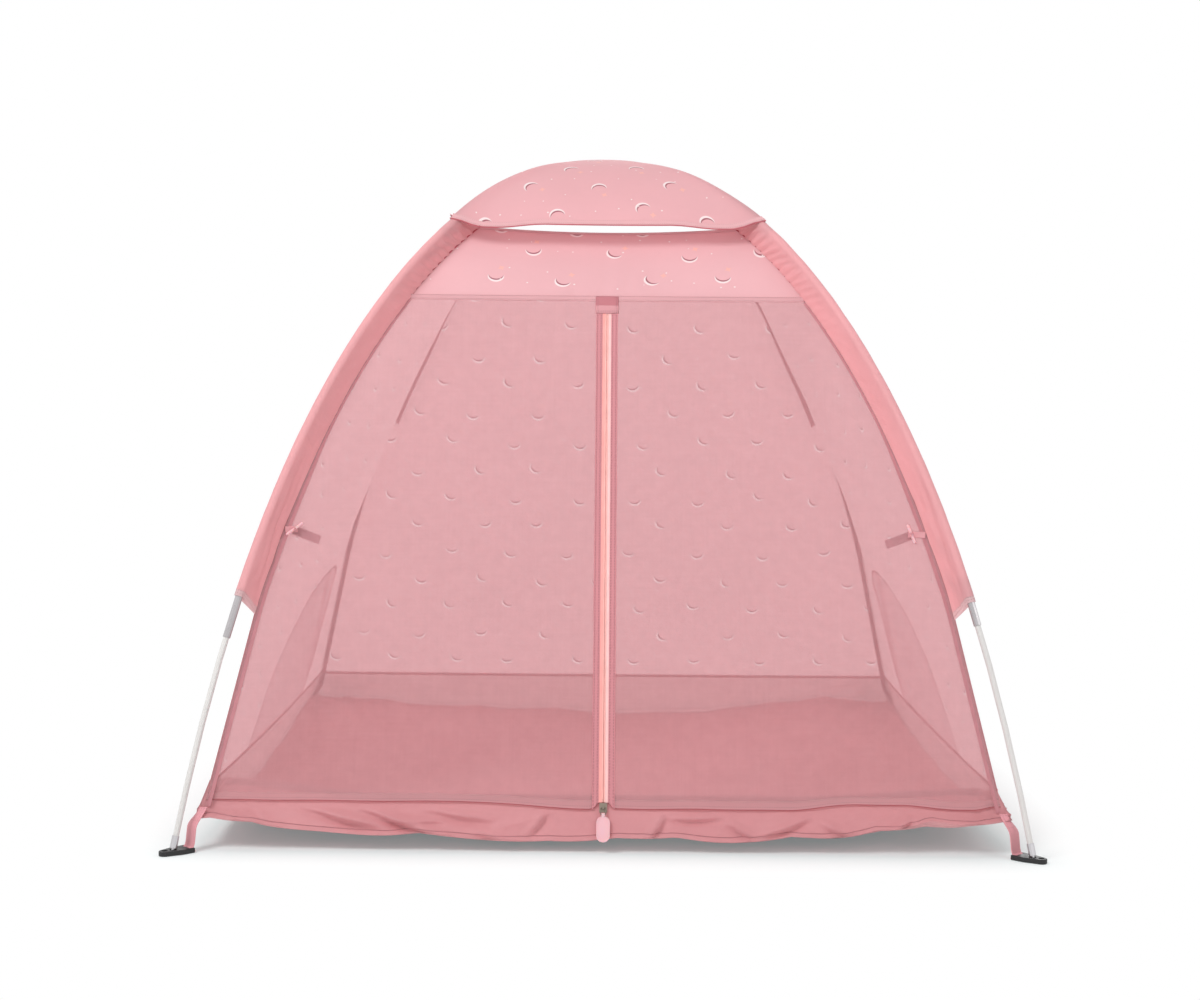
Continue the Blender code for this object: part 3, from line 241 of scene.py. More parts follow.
def rows_object(name, rows, material, body="tent", closed=False, flip=False, ends=False, smooth_angle=None):
    """A mesh of rows of (point, place on the cloth) pairs. Closed rows are rings, and ends caps them."""
    count = len(rows[0])
    faces = []
    for i in range(len(rows) - 1):
        for j in range(count if closed else count - 1):
            k = (j + 1) % count
            face = (i * count + j, i * count + k, (i + 1) * count + k, (i + 1) * count + j)
            faces.append(face[::-1] if flip else face)
    if ends:
        faces.append(tuple(range(count))[::-1])
        faces.append(tuple((len(rows) - 1) * count + i for i in range(count)))
    mesh = bpy.data.meshes.new(name)
    mesh.from_pydata([tuple(spot) for row in rows for spot, _ in row], [], faces)
    layer = mesh.uv_layers.new(name="cloth")
    where = np.zeros(len(mesh.loops), np.int32)
    mesh.loops.foreach_get("vertex_index", where)
    flat = np.array([uv for row in rows for _, uv in row], np.float32)
    layer.data.foreach_set("uv", flat[where].ravel())
    mesh.validate()
    mesh.update()
    obj = bpy.data.objects.new(name, mesh)
    bpy.context.scene.collection.objects.link(obj)
    return finish_mesh(obj, material, body, smooth_angle)


def grid_object(name, firsts, seconds, at, material, **options):
    """A mesh of rows. at gives a point and its place on the cloth for a first and a second value."""
    return rows_object(name, [[at(a, b) for b in seconds] for a in firsts], material, **options)


def walked(points):
    """Distances along a line of points, from its first one."""
    total, found = 0.0, [0.0]
    for a, b in zip(points, points[1:]):
        total += (b - a).length
        found.append(total)
    return found


def strip_object(name, line, outs, width, thickness, material, lift=0.0):
    """A flat strip of cloth with rounded edges along a line of points. Widths and normals may be lists."""
    along = walked(line)
    rows = []
    last = len(line) - 1
    thick = thickness / 2
    for i, spot in enumerate(line):
        run = (line[min(i + 1, last)] - line[max(i - 1, 0)]).normalized()
        out = outs[i] if isinstance(outs, list) else outs
        out = (out - run * out.dot(run)).normalized()
        across = run.cross(out)
        half = (width[i] if isinstance(width, list) else width) / 2
        inner = half * 0.94
        outline = [(-half, 0), (-inner, thick), (0, thick), (inner, thick)]
        outline += [(half, 0), (inner, -thick), (0, -thick), (-inner, -thick)]
        rows.append([(spot + across * x + out * (y + thick + lift), (along[i], x)) for x, y in outline])
    return rows_object(name, rows, material, closed=True, ends=True, smooth_angle=50)


def tube_object(name, line, radius, material, closed=False):
    """A round cord or piping along a line of points."""
    curve = bpy.data.curves.new(name, "CURVE")
    curve.dimensions = "3D"
    spline = curve.splines.new("POLY")
    spline.points.add(len(line) - 1)
    for point, spot in zip(spline.points, line):
        point.co = (*spot, 1)
    spline.use_cyclic_u = closed
    curve.bevel_depth = radius
    curve.bevel_resolution = 2
    curve.use_fill_caps = True
    drawn = bpy.data.objects.new(name + "_curve", curve)
    bpy.context.scene.collection.objects.link(drawn)
    bpy.context.view_layer.update()
    mesh = bpy.data.meshes.new_from_object(drawn.evaluated_get(bpy.context.evaluated_depsgraph_get()))
    bpy.data.objects.remove(drawn)
    mesh.name = name
    obj = bpy.data.objects.new(name, mesh)
    bpy.context.scene.collection.objects.link(obj)
    return finish_mesh(obj, material, "tent", 60)


def thicken(obj, thickness):
    """Gives a strip its thickness in the mesh itself."""
    solid = obj.modifiers.new("thickness", "SOLIDIFY")
    solid.thickness = thickness
    solid.offset = 0
    made = bpy.data.meshes.new_from_object(obj.evaluated_get(bpy.context.evaluated_depsgraph_get()))
    obj.modifiers.clear()
    obj.data = made
    obj.data.shade_smooth()
    obj.data.set_sharp_from_angle(angle=math.radians(50))


def add_faces(obj, uv_at, build):
    """Adds smooth faces to a mesh. build gives them, and uv_at a point's place on the cloth."""
    shape = bmesh.new()
    shape.from_mesh(obj.data)
    shape.verts.ensure_lookup_table()
    layer = shape.loops.layers.uv[0]
    for face in build(shape):
        face.smooth = True
        for loop in face.loops:
            loop[layer].uv = uv_at(loop.vert.co)
    shape.to_mesh(obj.data)
    shape.free()


# Materials


class Value:
    """A value in a shader graph. Arithmetic on it adds math nodes."""

    def __init__(self, graph, socket):
        self.graph = graph
        self.socket = socket

    def __add__(self, other):
        return self.graph.calc("ADD", self, other)

    def __sub__(self, other):
        return self.graph.calc("SUBTRACT", self, other)

    def __rsub__(self, other):
        return self.graph.calc("SUBTRACT", other, self)

    def __mul__(self, other):
        return self.graph.calc("MULTIPLY", self, other)

    def __truediv__(self, other):
        return self.graph.calc("DIVIDE", self, other)

    def __abs__(self):
        return self.graph.calc("ABSOLUTE", self)


class Graph:
    """The nodes of a material or world, with short ways to add and join them."""

    def __init__(self, owner):
        owner.use_nodes = True
        self.owner = owner
        self.tree = owner.node_tree
        self.tree.nodes.clear()

    def node(self, kind, inputs=(), out=0, **settings):
        """Adds a node and gives one of its outputs, or several for a tuple."""
        made = self.tree.nodes.new(kind)
        for key, value in settings.items():
            setattr(made, key, value)
        for key, value in dict(inputs).items():
            socket = made.inputs[key]
            if isinstance(value, Value):
                self.tree.links.new(value.socket, socket)
            elif isinstance(value, tuple) and socket.type == "RGBA":
                socket.default_value = (*value, 1)
            else:
                socket.default_value = value
        if isinstance(out, tuple):
            return [Value(self, made.outputs[key]) for key in out]
        return Value(self, made.outputs[out]) if made.outputs else None

    def calc(self, operation, a, b=0.0, c=0.0, clamp=False):
        return self.node("ShaderNodeMath", {0: a, 1: b, 2: c}, operation=operation, use_clamp=clamp)

    def largest(self, first, *others):
        for other in others:
            first = self.calc("MAXIMUM", first, other)
        return first

    def mix(self, share, a, b):
        return self.node("ShaderNodeMix", {0: share, 6: a, 7: b}, 2, data_type="RGBA")

    def either(self, share, a, b):
        return self.node("ShaderNodeMixShader", {0: share, 1: a, 2: b})

    def noise(self, where, scale, detail=2.0, roughness=0.5):
        inputs = {"Vector": where, "Scale": scale, "Detail": detail, "Roughness": roughness}
        return self.node("ShaderNodeTexNoise", inputs, "Fac")

    def chance(self, across, up, seed=0.0):
        """Four random numbers for a whole-numbered cell of a flat grid."""
        cell = self.node("ShaderNodeCombineXYZ", {0: across + seed if seed else across, 1: up})
        colour, value = self.node(
            "ShaderNodeTexWhiteNoise", {"Vector": cell}, ("Color", "Value"), noise_dimensions="2D"
        )
        return [*self.node("ShaderNodeSeparateColor", {0: colour}, (0, 1, 2)), value]

    def ramp(self, value, low, high, to_low=0.0, to_high=1.0):
        """A straight rise from one value to another, held at both ends."""
        inputs = {"Value": value, "From Min": low, "From Max": high, "To Min": to_low, "To Max": to_high}
        return self.node("ShaderNodeMapRange", inputs)

    def below(self, distance, soft=0.0004):
        """1 where a distance is below zero and 0 where it is above, with a soft edge."""
        return self.ramp(distance, -soft, soft, 1.0, 0.0)

    def vary(self, tone, a, b, most=1.0):
        """Goes from one colour towards another with a noise."""
        return self.mix(self.ramp(tone, 0.3, 0.7, 0.0, most), a, b)

    def stretched(self, where, scale):
        return self.node("ShaderNodeVectorMath", {0: where, 1: scale}, operation="MULTIPLY")

    def bump(self, height, distance, strength=1.0, normal=None):
        inputs = {"Height": height, "Distance": distance, "Strength": strength}
        return self.node("ShaderNodeBump", {**inputs, "Normal": normal} if normal else inputs)

    def shown(self):
        """1 for what the camera sees, also through glass and in gloss."""
        rays = ("Is Camera Ray", "Is Glossy Ray", "Is Transmission Ray")
        return self.largest(*self.node("ShaderNodeLightPath", (), rays))

    def done(self, shader, kind="ShaderNodeOutputMaterial"):
        self.node(kind, {"Surface": shader})
        return self.owner


class Cloth(Graph):
    """The nodes of a cloth's material, with its places in metres: where, and its parts u and v."""

    def __init__(self, name):
        super().__init__(bpy.data.materials.new(name))
        self.where = self.node("ShaderNodeUVMap", uv_map="cloth")
        self.u, self.v = self.node("ShaderNodeSeparateXYZ", {0: self.where}, (0, 1))

    def part(self, coordinate):
        return self.u if coordinate == "u" else self.v

    def between(self, coordinate, low, high):
        """A mask of a band along the cloth."""
        part = self.part(coordinate)
        soft = 0.0003
        return self.ramp(part, low - soft, low + soft) * self.ramp(part, high - soft, high + soft, 1.0, 0.0)

    def stitches(self, stitched, pitch=0.0034, width=0.0007):
        """Masks of dashed stitches. stitched holds pairs of a coordinate and the places of its lines."""
        for coordinate, places in stitched:
            across, along = self.part(coordinate), self.part("v" if coordinate == "u" else "u")
            dash = self.ramp(self.calc("SINE", along * (math.tau / pitch)), -0.6, 0.0)
            lines = [self.below(abs(across - place) - width / 2, width * 0.4) for place in places]
            yield self.largest(*lines) * dash

    def weave(self, normal):
        """A fine over-and-under weave on top of a bump."""
        a, b = (self.calc("SINE", part * (math.tau / WEAVE_PITCH)) for part in (self.u, self.v))
        return self.bump(a * b * 0.5 + 0.5, 0.00006, 0.5, normal)

    def woven(self, tint, passed, normal, share, roughness, gloss, sheen):
        """Cloth that reflects one colour and lets a share of light through in another."""
        look = {"Base Color": tint, "Roughness": roughness, "Normal": normal}
        look.update({"Specular IOR Level": gloss, "Sheen Weight": sheen})
        front = self.node("ShaderNodeBsdfPrincipled", look)
        through = self.node("ShaderNodeBsdfTranslucent", {"Color": passed, "Normal": normal})
        return self.done(self.either(share, front, through))


def srgb(r, g, b):
    return tuple(((c / 255 + 0.055) / 1.055) ** 2.4 for c in (r, g, b))


def tinted(colour, share):
    """A lighter or darker tone of a colour."""
    return tuple(min(c * share, 1) for c in colour)


PINK = srgb(236, 183, 188)
NET_PINK = srgb(229, 193, 197)
WHITE = srgb(255, 244, 244)
DEEP = srgb(158, 92, 104)
PEACH = srgb(255, 196, 176)
HEM_PINK = srgb(228, 186, 190)
# Painted shadow: a dark band along the lowest edge of the leaves' hem
HEM_PAINTED_SHADOW = srgb(190, 114, 120)


def print_masks(g, cell_u=0.118, cell_v=0.060, dot_cell=0.036):
    """Masks of the print: crescents with a small star by each, and loose dots, in a half-drop layout."""
    row = g.calc("FLOOR", g.v / cell_v)
    moved = g.u + g.calc("FLOORED_MODULO", row, 2.0) * (cell_u / 2)
    column = g.calc("FLOOR", moved / cell_u)
    across, up, slant, _ = g.chance(column, row)
    x = moved - (column + 0.5) * cell_u - (across - 0.5) * 0.026
    y = g.v - (row + 0.5) * cell_v - (up - 0.5) * 0.016
    turn = (slant - 0.25) * 1.1
    cos, sin = g.calc("COSINE", turn), g.calc("SINE", turn)
    rx = x * cos + y * sin
    ry = y * cos - x * sin

    def disc(cx, cy, radius):
        dx, dy = rx - cx, ry - cy
        return g.below(g.calc("SQRT", dx * dx + dy * dy) - radius, 0.0006)

    crescent = disc(0, 0, 0.0125) * (1.0 - disc(0.0036, 0.0054, 0.0122))
    shade = crescent * disc(0.0018, 0.0027, 0.0118)
    points = [abs(part - place) / 0.0066 for part, place in ((rx, 0.0165), (ry, 0.0125))]
    sx, sy = (g.calc("POWER", point, 0.62) for point in points)
    star = g.below(sx + sy - 1.0, 0.08)
    du, dv = g.u / dot_cell, g.v / dot_cell
    fu, fv = g.calc("FLOOR", du), g.calc("FLOOR", dv)
    across, up, wide, luck = g.chance(fu, fv, 17.0)
    ex = du - fu - (across * 0.7 + 0.15)
    ey = dv - fv - (up * 0.7 + 0.15)
    far = g.calc("SQRT", ex * ex + ey * ey)
    dot = g.below(far - (wide * 0.020 + 0.026), 0.010) * g.calc("GREATER_THAN", luck, 0.32)
    return crescent - shade, shade, star, dot


def cloth_material(name, colour, see_through=0.42, crease=0.0012, printed=False, stretch=(1.0, 1.0),
                   stitched=(), thread=(0.0034, 0.0007), edge=None, whiten=0.40):
    """Thin woven cloth that lets some light through, with creases, and maybe the print and stitching.

    thread is the stitches' pitch and width. edge is a band: (coordinate, from, to, colour)."""
    g = Cloth(name)
    tint = g.vary(g.noise(g.where, 5.0, 3.0), tinted(colour, 0.965), tinted(colour, 1.03))
    tint = g.vary(g.noise(g.where, 90.0, 4.0, 0.6), tint, tinted(colour, 0.86), 0.10)
    passed = g.mix(whiten, tint, WHITE)
    if printed:
        lit, shade, star, dot = print_masks(g)
        white = g.largest(lit, dot * 0.85)
        tint = g.mix(star * 0.75, g.mix(shade, tint, DEEP), PEACH)
        tint = g.mix(white, tint, WHITE)
        passed = g.mix(white, g.mix(shade, passed, DEEP), WHITE)
    mapped = g.stretched(g.where, (*stretch, 1.0))
    height = g.noise(mapped, 13.0, 3.0, 0.55) + g.noise(mapped, 46.0, 3.0, 0.55) * 0.22
    if edge:
        inside = g.between(*edge[:3])
        tint = g.mix(inside, tint, edge[3])
        height = height + inside * 0.35
    for line in g.stitches(stitched, *thread):
        tint = g.mix(line * 0.60, tint, tinted(colour, 0.58))
        height = height - line * 0.4
    return g.woven(tint, passed, g.weave(g.bump(height, crease, 0.9)), see_through, 0.62, 0.25, 0.12)


def groundsheet_material():
    """Plain coated cloth. Its turned-up strip is darker, and lets light through where the floor can't."""
    g = Cloth("groundsheet_cloth")
    reach = g.largest(abs(g.u), abs(g.v))
    strip = g.ramp(reach, FOLD_HALF - 0.003, FOLD_HALF + 0.003)
    line = g.below(abs(reach - (FOLD_HALF + 0.0085)) - 0.0005, 0.0005)
    tint = g.mix(strip, srgb(226, 168, 171), srgb(222, 162, 166))
    tint = g.vary(g.noise(g.where, 4.0, 3.0), tint, srgb(212, 146, 151), 0.4)
    tint = g.vary(g.noise(g.where, 90.0, 4.0, 0.6), tint, srgb(190, 120, 126), 0.10)
    tint = g.mix(line * 0.55, tint, DEEP)
    crisp = g.calc("SUBTRACT", 1.0, abs(g.noise(g.where, 7.0, 2.0) - 0.5) * 9.0, clamp=True)
    height = g.noise(g.where, 9.0, 4.0, 0.6) + g.noise(g.where, 38.0, 3.0, 0.55) * 0.20
    normal = g.weave(g.bump(height + crisp * 0.35 - line * 0.3, 0.0030, 0.9))
    share = g.ramp(strip, 0.0, 1.0, 0.02, 0.34)
    return g.woven(tint, g.mix(0.3, tint, WHITE), normal, share, 0.55, 0.30, 0.10)


def net_material(name, colour, cover, bands=(), stitched=()):
    """Fine net: threads with clear holes between. bands are hems, and a hem's painted shadow: (coordinate,
    from, to, cover, colour).
    """
    g = Cloth(name)
    waves = [abs(g.calc("SINE", part * (math.pi / NET_PITCH))) for part in (g.u, g.v)]
    threads = g.largest(*[g.ramp(wave, 0.15, 0.75, 1.0, 0.0) for wave in waves])
    mean = g.ramp(g.noise(g.where, 7.0, 3.0), 0.3, 0.7, cover - 0.02, cover + 0.02)
    for scale in ((420.0, 9.0, 1.0), (9.0, 420.0, 1.0)):
        mean = mean + g.ramp(g.noise(g.stretched(g.where, scale), 1.0), 0.3, 0.7, -0.008, 0.008)
    share = g.calc("ADD", mean, (threads - 0.55) * 0.22, clamp=True)
    tint = g.vary(g.noise(g.where, 60.0), tinted(colour, 0.97), tinted(colour, 1.03))
    for *band, band_cover, band_colour in bands:
        inside = g.between(*band)
        share = share * (1.0 - inside) + inside * band_cover
        tint = g.mix(inside, tint, band_colour)
    for line in g.stitches(stitched):
        tint = g.mix(line * 0.55, tint, tinted(colour, 0.58))
    normal = g.bump(g.noise(g.where, 16.0, 3.0), 0.0008, 0.7)
    front = g.node("ShaderNodeBsdfDiffuse", {"Color": tint, "Roughness": 0.8, "Normal": normal})
    through = g.node("ShaderNodeBsdfTranslucent", {"Color": tint, "Normal": normal})
    clear = g.node("ShaderNodeBsdfTransparent")
    return g.done(g.either(share, clear, g.either(0.42, front, through)))


def tape_material(name, colour, ribs=0.0012):
    """Woven tape or webbing with ribs along it, and painted shade in the hollows between the ribs."""
    g = Cloth(name)
    across = g.calc("SINE", g.v * (math.tau / ribs))
    along = g.calc("SINE", g.u * (math.tau / (ribs * 0.8)))
    height = across * 0.5 + along * 0.35
    tint = g.vary(g.noise(g.where, 40.0, 3.0), tinted(colour, 0.93), tinted(colour, 1.04))
    # Painted shade: darker where the ribs' height is low
    tint = g.mix(g.ramp(height, -0.8, 0.8, 0.12, 0.0), tint, tinted(colour, 0.6))
    look = {"Base Color": tint, "Roughness": 0.6, "Specular IOR Level": 0.3, "Sheen Weight": 0.1}
    return g.done(g.node("ShaderNodeBsdfPrincipled", {**look, "Normal": g.bump(height, 0.00015, 0.6)}))


def solid_material(name, colour, rough_low, rough_high, metallic=0.0, scale=60.0, bump=0.00004, speck=0.10,
                   **extra):
    """Plastic, glass fibre or metal with fine wear in its colour and gloss."""
    g = Graph(bpy.data.materials.new(name))
    where = g.node("ShaderNodeTexCoord", out="Object")
    look = {
        "Base Color": g.vary(g.noise(where, scale * 0.12), tinted(colour, 1 - speck), colour),
        "Metallic": metallic,
        "Roughness": g.ramp(g.noise(where, scale, 4.0, 0.6), 0.3, 0.7, rough_low, rough_high),
        "Normal": g.bump(g.noise(where, scale * 9, 3.0), bump, 0.5),
    }
    return g.done(g.node("ShaderNodeBsdfPrincipled", {**look, **extra}))


print_cloth = cloth_material("print_cloth", PINK, 0.50, 0.0026, True, stretch=(1.8, 0.8), whiten=0.26)
cap_cloth = cloth_material("cap_cloth", PINK, 0.30, 0.0010, True)
cap_hem_cloth = cloth_material(
    "cap_hem_cloth", srgb(240, 190, 194), 0.25, 0.0008, stitched=(("v", (-0.0033, 0.0030)),)
)
sleeve_cloth = cloth_material(
    "sleeve_cloth", srgb(246, 184, 188), 0.40, 0.0016, stretch=(2.2, 1.0),
    stitched=(("u", (-0.0078, -0.0040)),), edge=("u", -0.0085, 0.01, srgb(240, 206, 208)),
)
panel_cloth = cloth_material("panel_cloth", srgb(238, 190, 195), 0.30, 0.0010, True)
panel_hem_cloth = cloth_material(
    "panel_hem_cloth", srgb(230, 176, 181), 0.20, 0.0014, stitched=(("v", (-0.0030, 0.0026)),)
)
floor_cloth = groundsheet_material()
net_cloth = net_material("net_cloth", NET_PINK, 0.52)
leaf_net = net_material(
    "leaf_net", NET_PINK, 0.52,
    # The first band is painted shadow under the hem, the second the hem itself
    (("v", -0.001, 0.0012, 0.95, HEM_PAINTED_SHADOW), ("v", 0.0012, 0.0110, 0.92, HEM_PINK)),
    (("v", (0.0040, 0.0100)),),
)
window_net = net_material("window_net", srgb(222, 164, 169), 0.93)
seam_tape = tape_material("seam_tape", srgb(196, 132, 139))
sill_tape = tape_material("sill_tape", srgb(206, 140, 146))
# A dark edge colour. Along the cap's edge it is painted shade of the hem's underside
deep_edge = tape_material("deep_edge", srgb(196, 104, 114))
trim_tape = tape_material("trim_tape", srgb(208, 140, 146))
zip_tapes_with_painted_highlight = {
    -1: tape_material("zip_tape_left", srgb(255, 172, 166)),
    # The right tape is painted paler than the left: a painted highlight along the zip's right side
    1: tape_material("zip_tape_right", srgb(250, 200, 198)),
}
webbing_tape = tape_material("webbing_tape", srgb(222, 158, 164), 0.0018)
binding_tape = cloth_material(
    "binding_tape", srgb(214, 142, 149), 0.10, 0.0014,
    stitched=(("v", (0.0086, 0.0142)),), thread=(0.0042, 0.0015),
)
strap_tape = cloth_material(
    "strap_tape", srgb(228, 158, 166), 0.05, 0.0006,
    stitched=(("u", (0.002, 0.020)), ("v", (-0.0072, 0.0072))),
)
patch_cloth = cloth_material(
    "patch_cloth", srgb(222, 158, 164), 0.12, 0.0010,
    stitched=(("u", (-0.0140, 0.0140)), ("v", (PATCH_FOOT + 0.0022, PATCH_FOOT + 0.0040))),
    # The darker band over the patch's upper part is painted shade under the panel's hem
    edge=("v", PATCH_FOOT + 0.013, 1.0, srgb(200, 126, 134)),
)
coil_plastic = solid_material("coil_plastic", srgb(255, 190, 182), 0.35, 0.5, scale=400)
fibreglass = solid_material("fibreglass", srgb(218, 216, 214), 0.28, 0.42, scale=45, speck=0.06)
ferrule_metal = solid_material("ferrule_metal", srgb(190, 186, 188), 0.24, 0.40, 1.0, scale=80)
slider_metal = solid_material("slider_metal", srgb(146, 134, 122), 0.25, 0.42, 1.0, scale=300)
tip_metal = solid_material("tip_metal", srgb(205, 203, 206), 0.28, 0.42, 1.0, scale=150)
black_plastic = solid_material(
    "black_plastic", (0.012, 0.012, 0.013), 0.38, 0.55, scale=120, bump=0.00008, speck=0.3
)
soft_plastic = solid_material(
    "soft_plastic", srgb(238, 188, 194), 0.30, 0.44, scale=90, speck=0.05,
    **{"Subsurface Weight": 0.35, "Subsurface Scale": 0.006},
)
elastic = solid_material("elastic", srgb(225, 220, 216), 0.7, 0.85, scale=200)


# Walls


def wall_bow(z):
    top, bottom = half_span(ROOF), half_span(STRIP_TOP)
    straight = bottom + (top - bottom) * (z - STRIP_TOP) / (ROOF - STRIP_TOP)
    return EDGE_BOW + 0.6 * (half_span(z) - straight)


def panel_bow(z):
    share = (z - PANEL_HEM) / (ROOF - PANEL_HEM)
    return DOOR_TOP_BOW + (EDGE_BOW - DOOR_TOP_BOW) * share


def wall_at(facing, t, z, bow, wave=0.0034, seed=1.0):
    """A place on a wall, with t from -1 to 1 between its corners. Side walls are flatter by their corners."""
    half = half_span(z)
    hollow = 1 - t * t
    flat = (bow(z) - EDGE_BOW) * (hollow - hollow * hollow) if facing.x else 0.0
    drop = ROOF_SAG * max((z - PANEL_HEM) / (ROOF - PANEL_HEM), 0)
    calm = min(1.0, (1 - abs(t)) * (2.5 if facing.x else 8)) * smooth(0, 0.06, ROOF - z)
    calm *= smooth(0, 0.05, z - STRIP_TOP + 0.01)
    ripple = rough(t * half, z, 0, 5.5, seed) * wave * 2
    ripple += rough(t * half, z * 0.6, 0, 17.0, seed + 4) * wave * 0.6
    depth = half - bow(z) * hollow + flat - abs(ripple) * calm
    along = Vector((-facing.y, facing.x, 0))
    return along * half * t + facing * depth + Vector((0, 0, z - drop * hollow))


def wall_line(facing, z, bow, count):
    return [wall_at(facing, t, z, bow, 0) for t in np.linspace(-1, 1, count)]


def wall_seam(name, facing):
    """Tape along a wall's foot."""
    return strip_object(name, wall_line(facing, STRIP_TOP, wall_bow, 50), facing, 0.006, 0.0010, trim_tape)


def area_of(obj):
    shape = bmesh.new()
    shape.from_mesh(obj.data)
    total = sum(face.calc_area() for face in shape.faces)
    shape.free()
    return total


def declare(obj, width, length, held, rests_on, *with_pieces):
    """Works out a sheet's flat area, at most its width times its length, and does nothing more with it. Its
    area is the made cloth's, as the cuts aren't rectangles.
    """
    area = min(round(area_of(obj), 4), width * length)


def make_back_wall():
    facing = Vector((0, 1, 0))

    def at(z, t):
        return wall_at(facing, t, z, wall_bow, seed=2.0), (-t * half_span(z), z * 1.12 + 0.01)

    heights, shares = np.linspace(ROOF, STRIP_TOP, 90), np.linspace(-1, 1, 90)
    wall = grid_object("back_wall_cloth", heights, shares, at, print_cloth, flip=True)
    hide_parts("back_wall")
    seam = wall_seam("back_wall_seam", facing)
    declare(wall, 1.13, 0.93, "stretched", ["sleeve_back_left_cloth", "sleeve_back_right_cloth"], seam)


def window_edges():
    """Places round the window's arch and, for each, one on the wall's sides or top."""
    steps = 96
    inner, outer = [], []
    corner = math.pi / 4
    for i in range(steps + 1):
        turn = math.pi * i / steps
        x, z = WINDOW_HALF * math.cos(turn), STRIP_TOP + (WINDOW_TOP - STRIP_TOP) * math.sin(turn)
        inner.append((x / half_span(z), z))
        if turn <= corner:
            outer.append((1.0, STRIP_TOP + (ROOF - STRIP_TOP) * turn / corner))
        elif turn >= math.pi - corner:
            outer.append((-1.0, STRIP_TOP + (ROOF - STRIP_TOP) * (math.pi - turn) / corner))
        else:
            outer.append((1 - 2 * (turn - corner) / (math.pi - 2 * corner), ROOF))
    return inner, outer


def make_side_wall(side):
    """A side wall round its half-moon window, the window's net and the piping between them."""
    word = SIDES[side]
    facing = Vector((side, 0, 0))

    def place_at(t, z):
        return wall_at(facing, t, z, wall_bow, 0.0024, 5.0 + side)

    def at(k, ends):
        (ta, za), (tb, zb) = ends
        t, z = ta + (tb - ta) * k, za + (zb - za) * k
        return place_at(t, z), (t * half_span(z) * side, z * 1.12 + 0.02 + 0.3 * side)

    inner, outer = window_edges()
    foot = [(t, STRIP_TOP) for t in np.linspace(inner[0][0], inner[-1][0], len(inner))]
    round_window, in_window = list(zip(inner, outer)), list(zip(foot, inner))
    wall = grid_object(f"side_wall_{word}_cloth", np.linspace(0, 1, 60), round_window, at, print_cloth)
    window = grid_object(f"side_window_{word}_net", np.linspace(0, 1, 26), in_window, at, window_net)
    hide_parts(f"side_wall_{word}")
    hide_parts(f"side_window_{word}")
    arch = [place_at(t, z) + facing * 0.0006 for t, z in inner]
    piping = strip_object(f"window_piping_{word}", arch, facing, 0.0030, 0.0020, seam_tape)
    seam = wall_seam(f"side_wall_{word}_seam", facing)
    sleeves = [f"sleeve_front_{word}_cloth", f"sleeve_back_{word}_cloth"]
    declare(wall, 1.13, 0.93, "stretched", sleeves, piping, seam)
    declare(window, 0.57, 0.27, "stretched", [wall.name])


def make_front_panel():
    facing = Vector((0, -1, 0))

    def at(z, t):
        x = t * half_span(z)
        close = math.exp(-((x / 0.09) ** 2)) * math.exp(-(z - PANEL_HEM) / 0.035)
        pucker = math.sin(x * 150 + 2 * rough(x, z, 0, 20)) * 0.0016 * close * smooth(0, 0.004, z - PANEL_HEM)
        return wall_at(facing, t, z, panel_bow, 0.0006, 3.0) + facing * pucker, (x, z * 1.35)

    heights, shares = np.linspace(ROOF, PANEL_HEM, 36), np.linspace(-1, 1, 110)
    panel = grid_object("front_panel_cloth", heights, shares, at, panel_cloth, flip=True)
    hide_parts("front_top_panel")
    line = wall_line(facing, PANEL_HEM, panel_bow, 60)
    hem = strip_object("front_panel_hem", line, DOOR_OUT, 0.009, 0.0011, panel_hem_cloth)
    line = wall_line(facing, ROOF - 0.003, panel_bow, 50)
    top = strip_object("front_panel_top_hem", line, facing, 0.006, 0.0009, panel_hem_cloth)
    declare(panel, 0.60, 0.15, "stretched", ["sleeve_front_left_cloth", "sleeve_front_right_cloth"], hem, top)


def make_zip_patch():
    """The patch over the zip's top end, lower along its sides."""
    half = 0.0175

    def at(up, x):
        return door_point(x, up, 0.0022 - 0.0010 * abs(x / half) ** 4), (x, up)

    ups, places = np.linspace(PATCH_FOOT, DOOR_LENGTH + 0.003, 12), np.linspace(-half, half, 14)
    patch = grid_object("zip_top_patch", ups, places, at, patch_cloth)
    thick = patch.modifiers.new("cloth", "SOLIDIFY")
    thick.thickness = 0.0010
    thick.offset = -1
    declare(patch, 0.037, 0.030, "stretched", ["front_panel_cloth"])


def make_roof_net():
    half = half_span(ROOF) - 0.0006

    def at(t, s):
        across, ahead = 1 - s * s, 1 - t * t
        drop = ROOF_SAG * (across + ahead - across * ahead / 2)
        spot = Vector((s * (half - EDGE_BOW * ahead), t * (half - EDGE_BOW * across), ROOF - drop))
        return spot, (s * half, t * half)

    shares = np.linspace(-1, 1, 40)
    net = grid_object("roof_net_cloth", shares, shares, at, net_cloth)
    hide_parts("roof_net")
    declare(net, 0.41, 0.41, "stretched", ["back_wall_cloth", "front_panel_cloth"])


# Door


def fold_line(side):
    """Start and end of a leaf's bend, square across its fold line, from the fixed side to the loose one."""
    run = Vector(((FOLD_TOP_SIDE - DOOR_FOLD_HALF) * side, 0, 0)) + DOOR_UP * FOLD_TOP
    run.normalize()
    across = run.cross(DOOR_OUT)
    if across.x * side > 0:
        across = -across
    middle = door_point(DOOR_FOLD_HALF * side, 0)
    return middle - across * 0.007, middle + across * 0.007


def bend_with_door(obj, side):
    start, end = fold_line(side)
    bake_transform(obj)
    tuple(start)
    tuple(end)


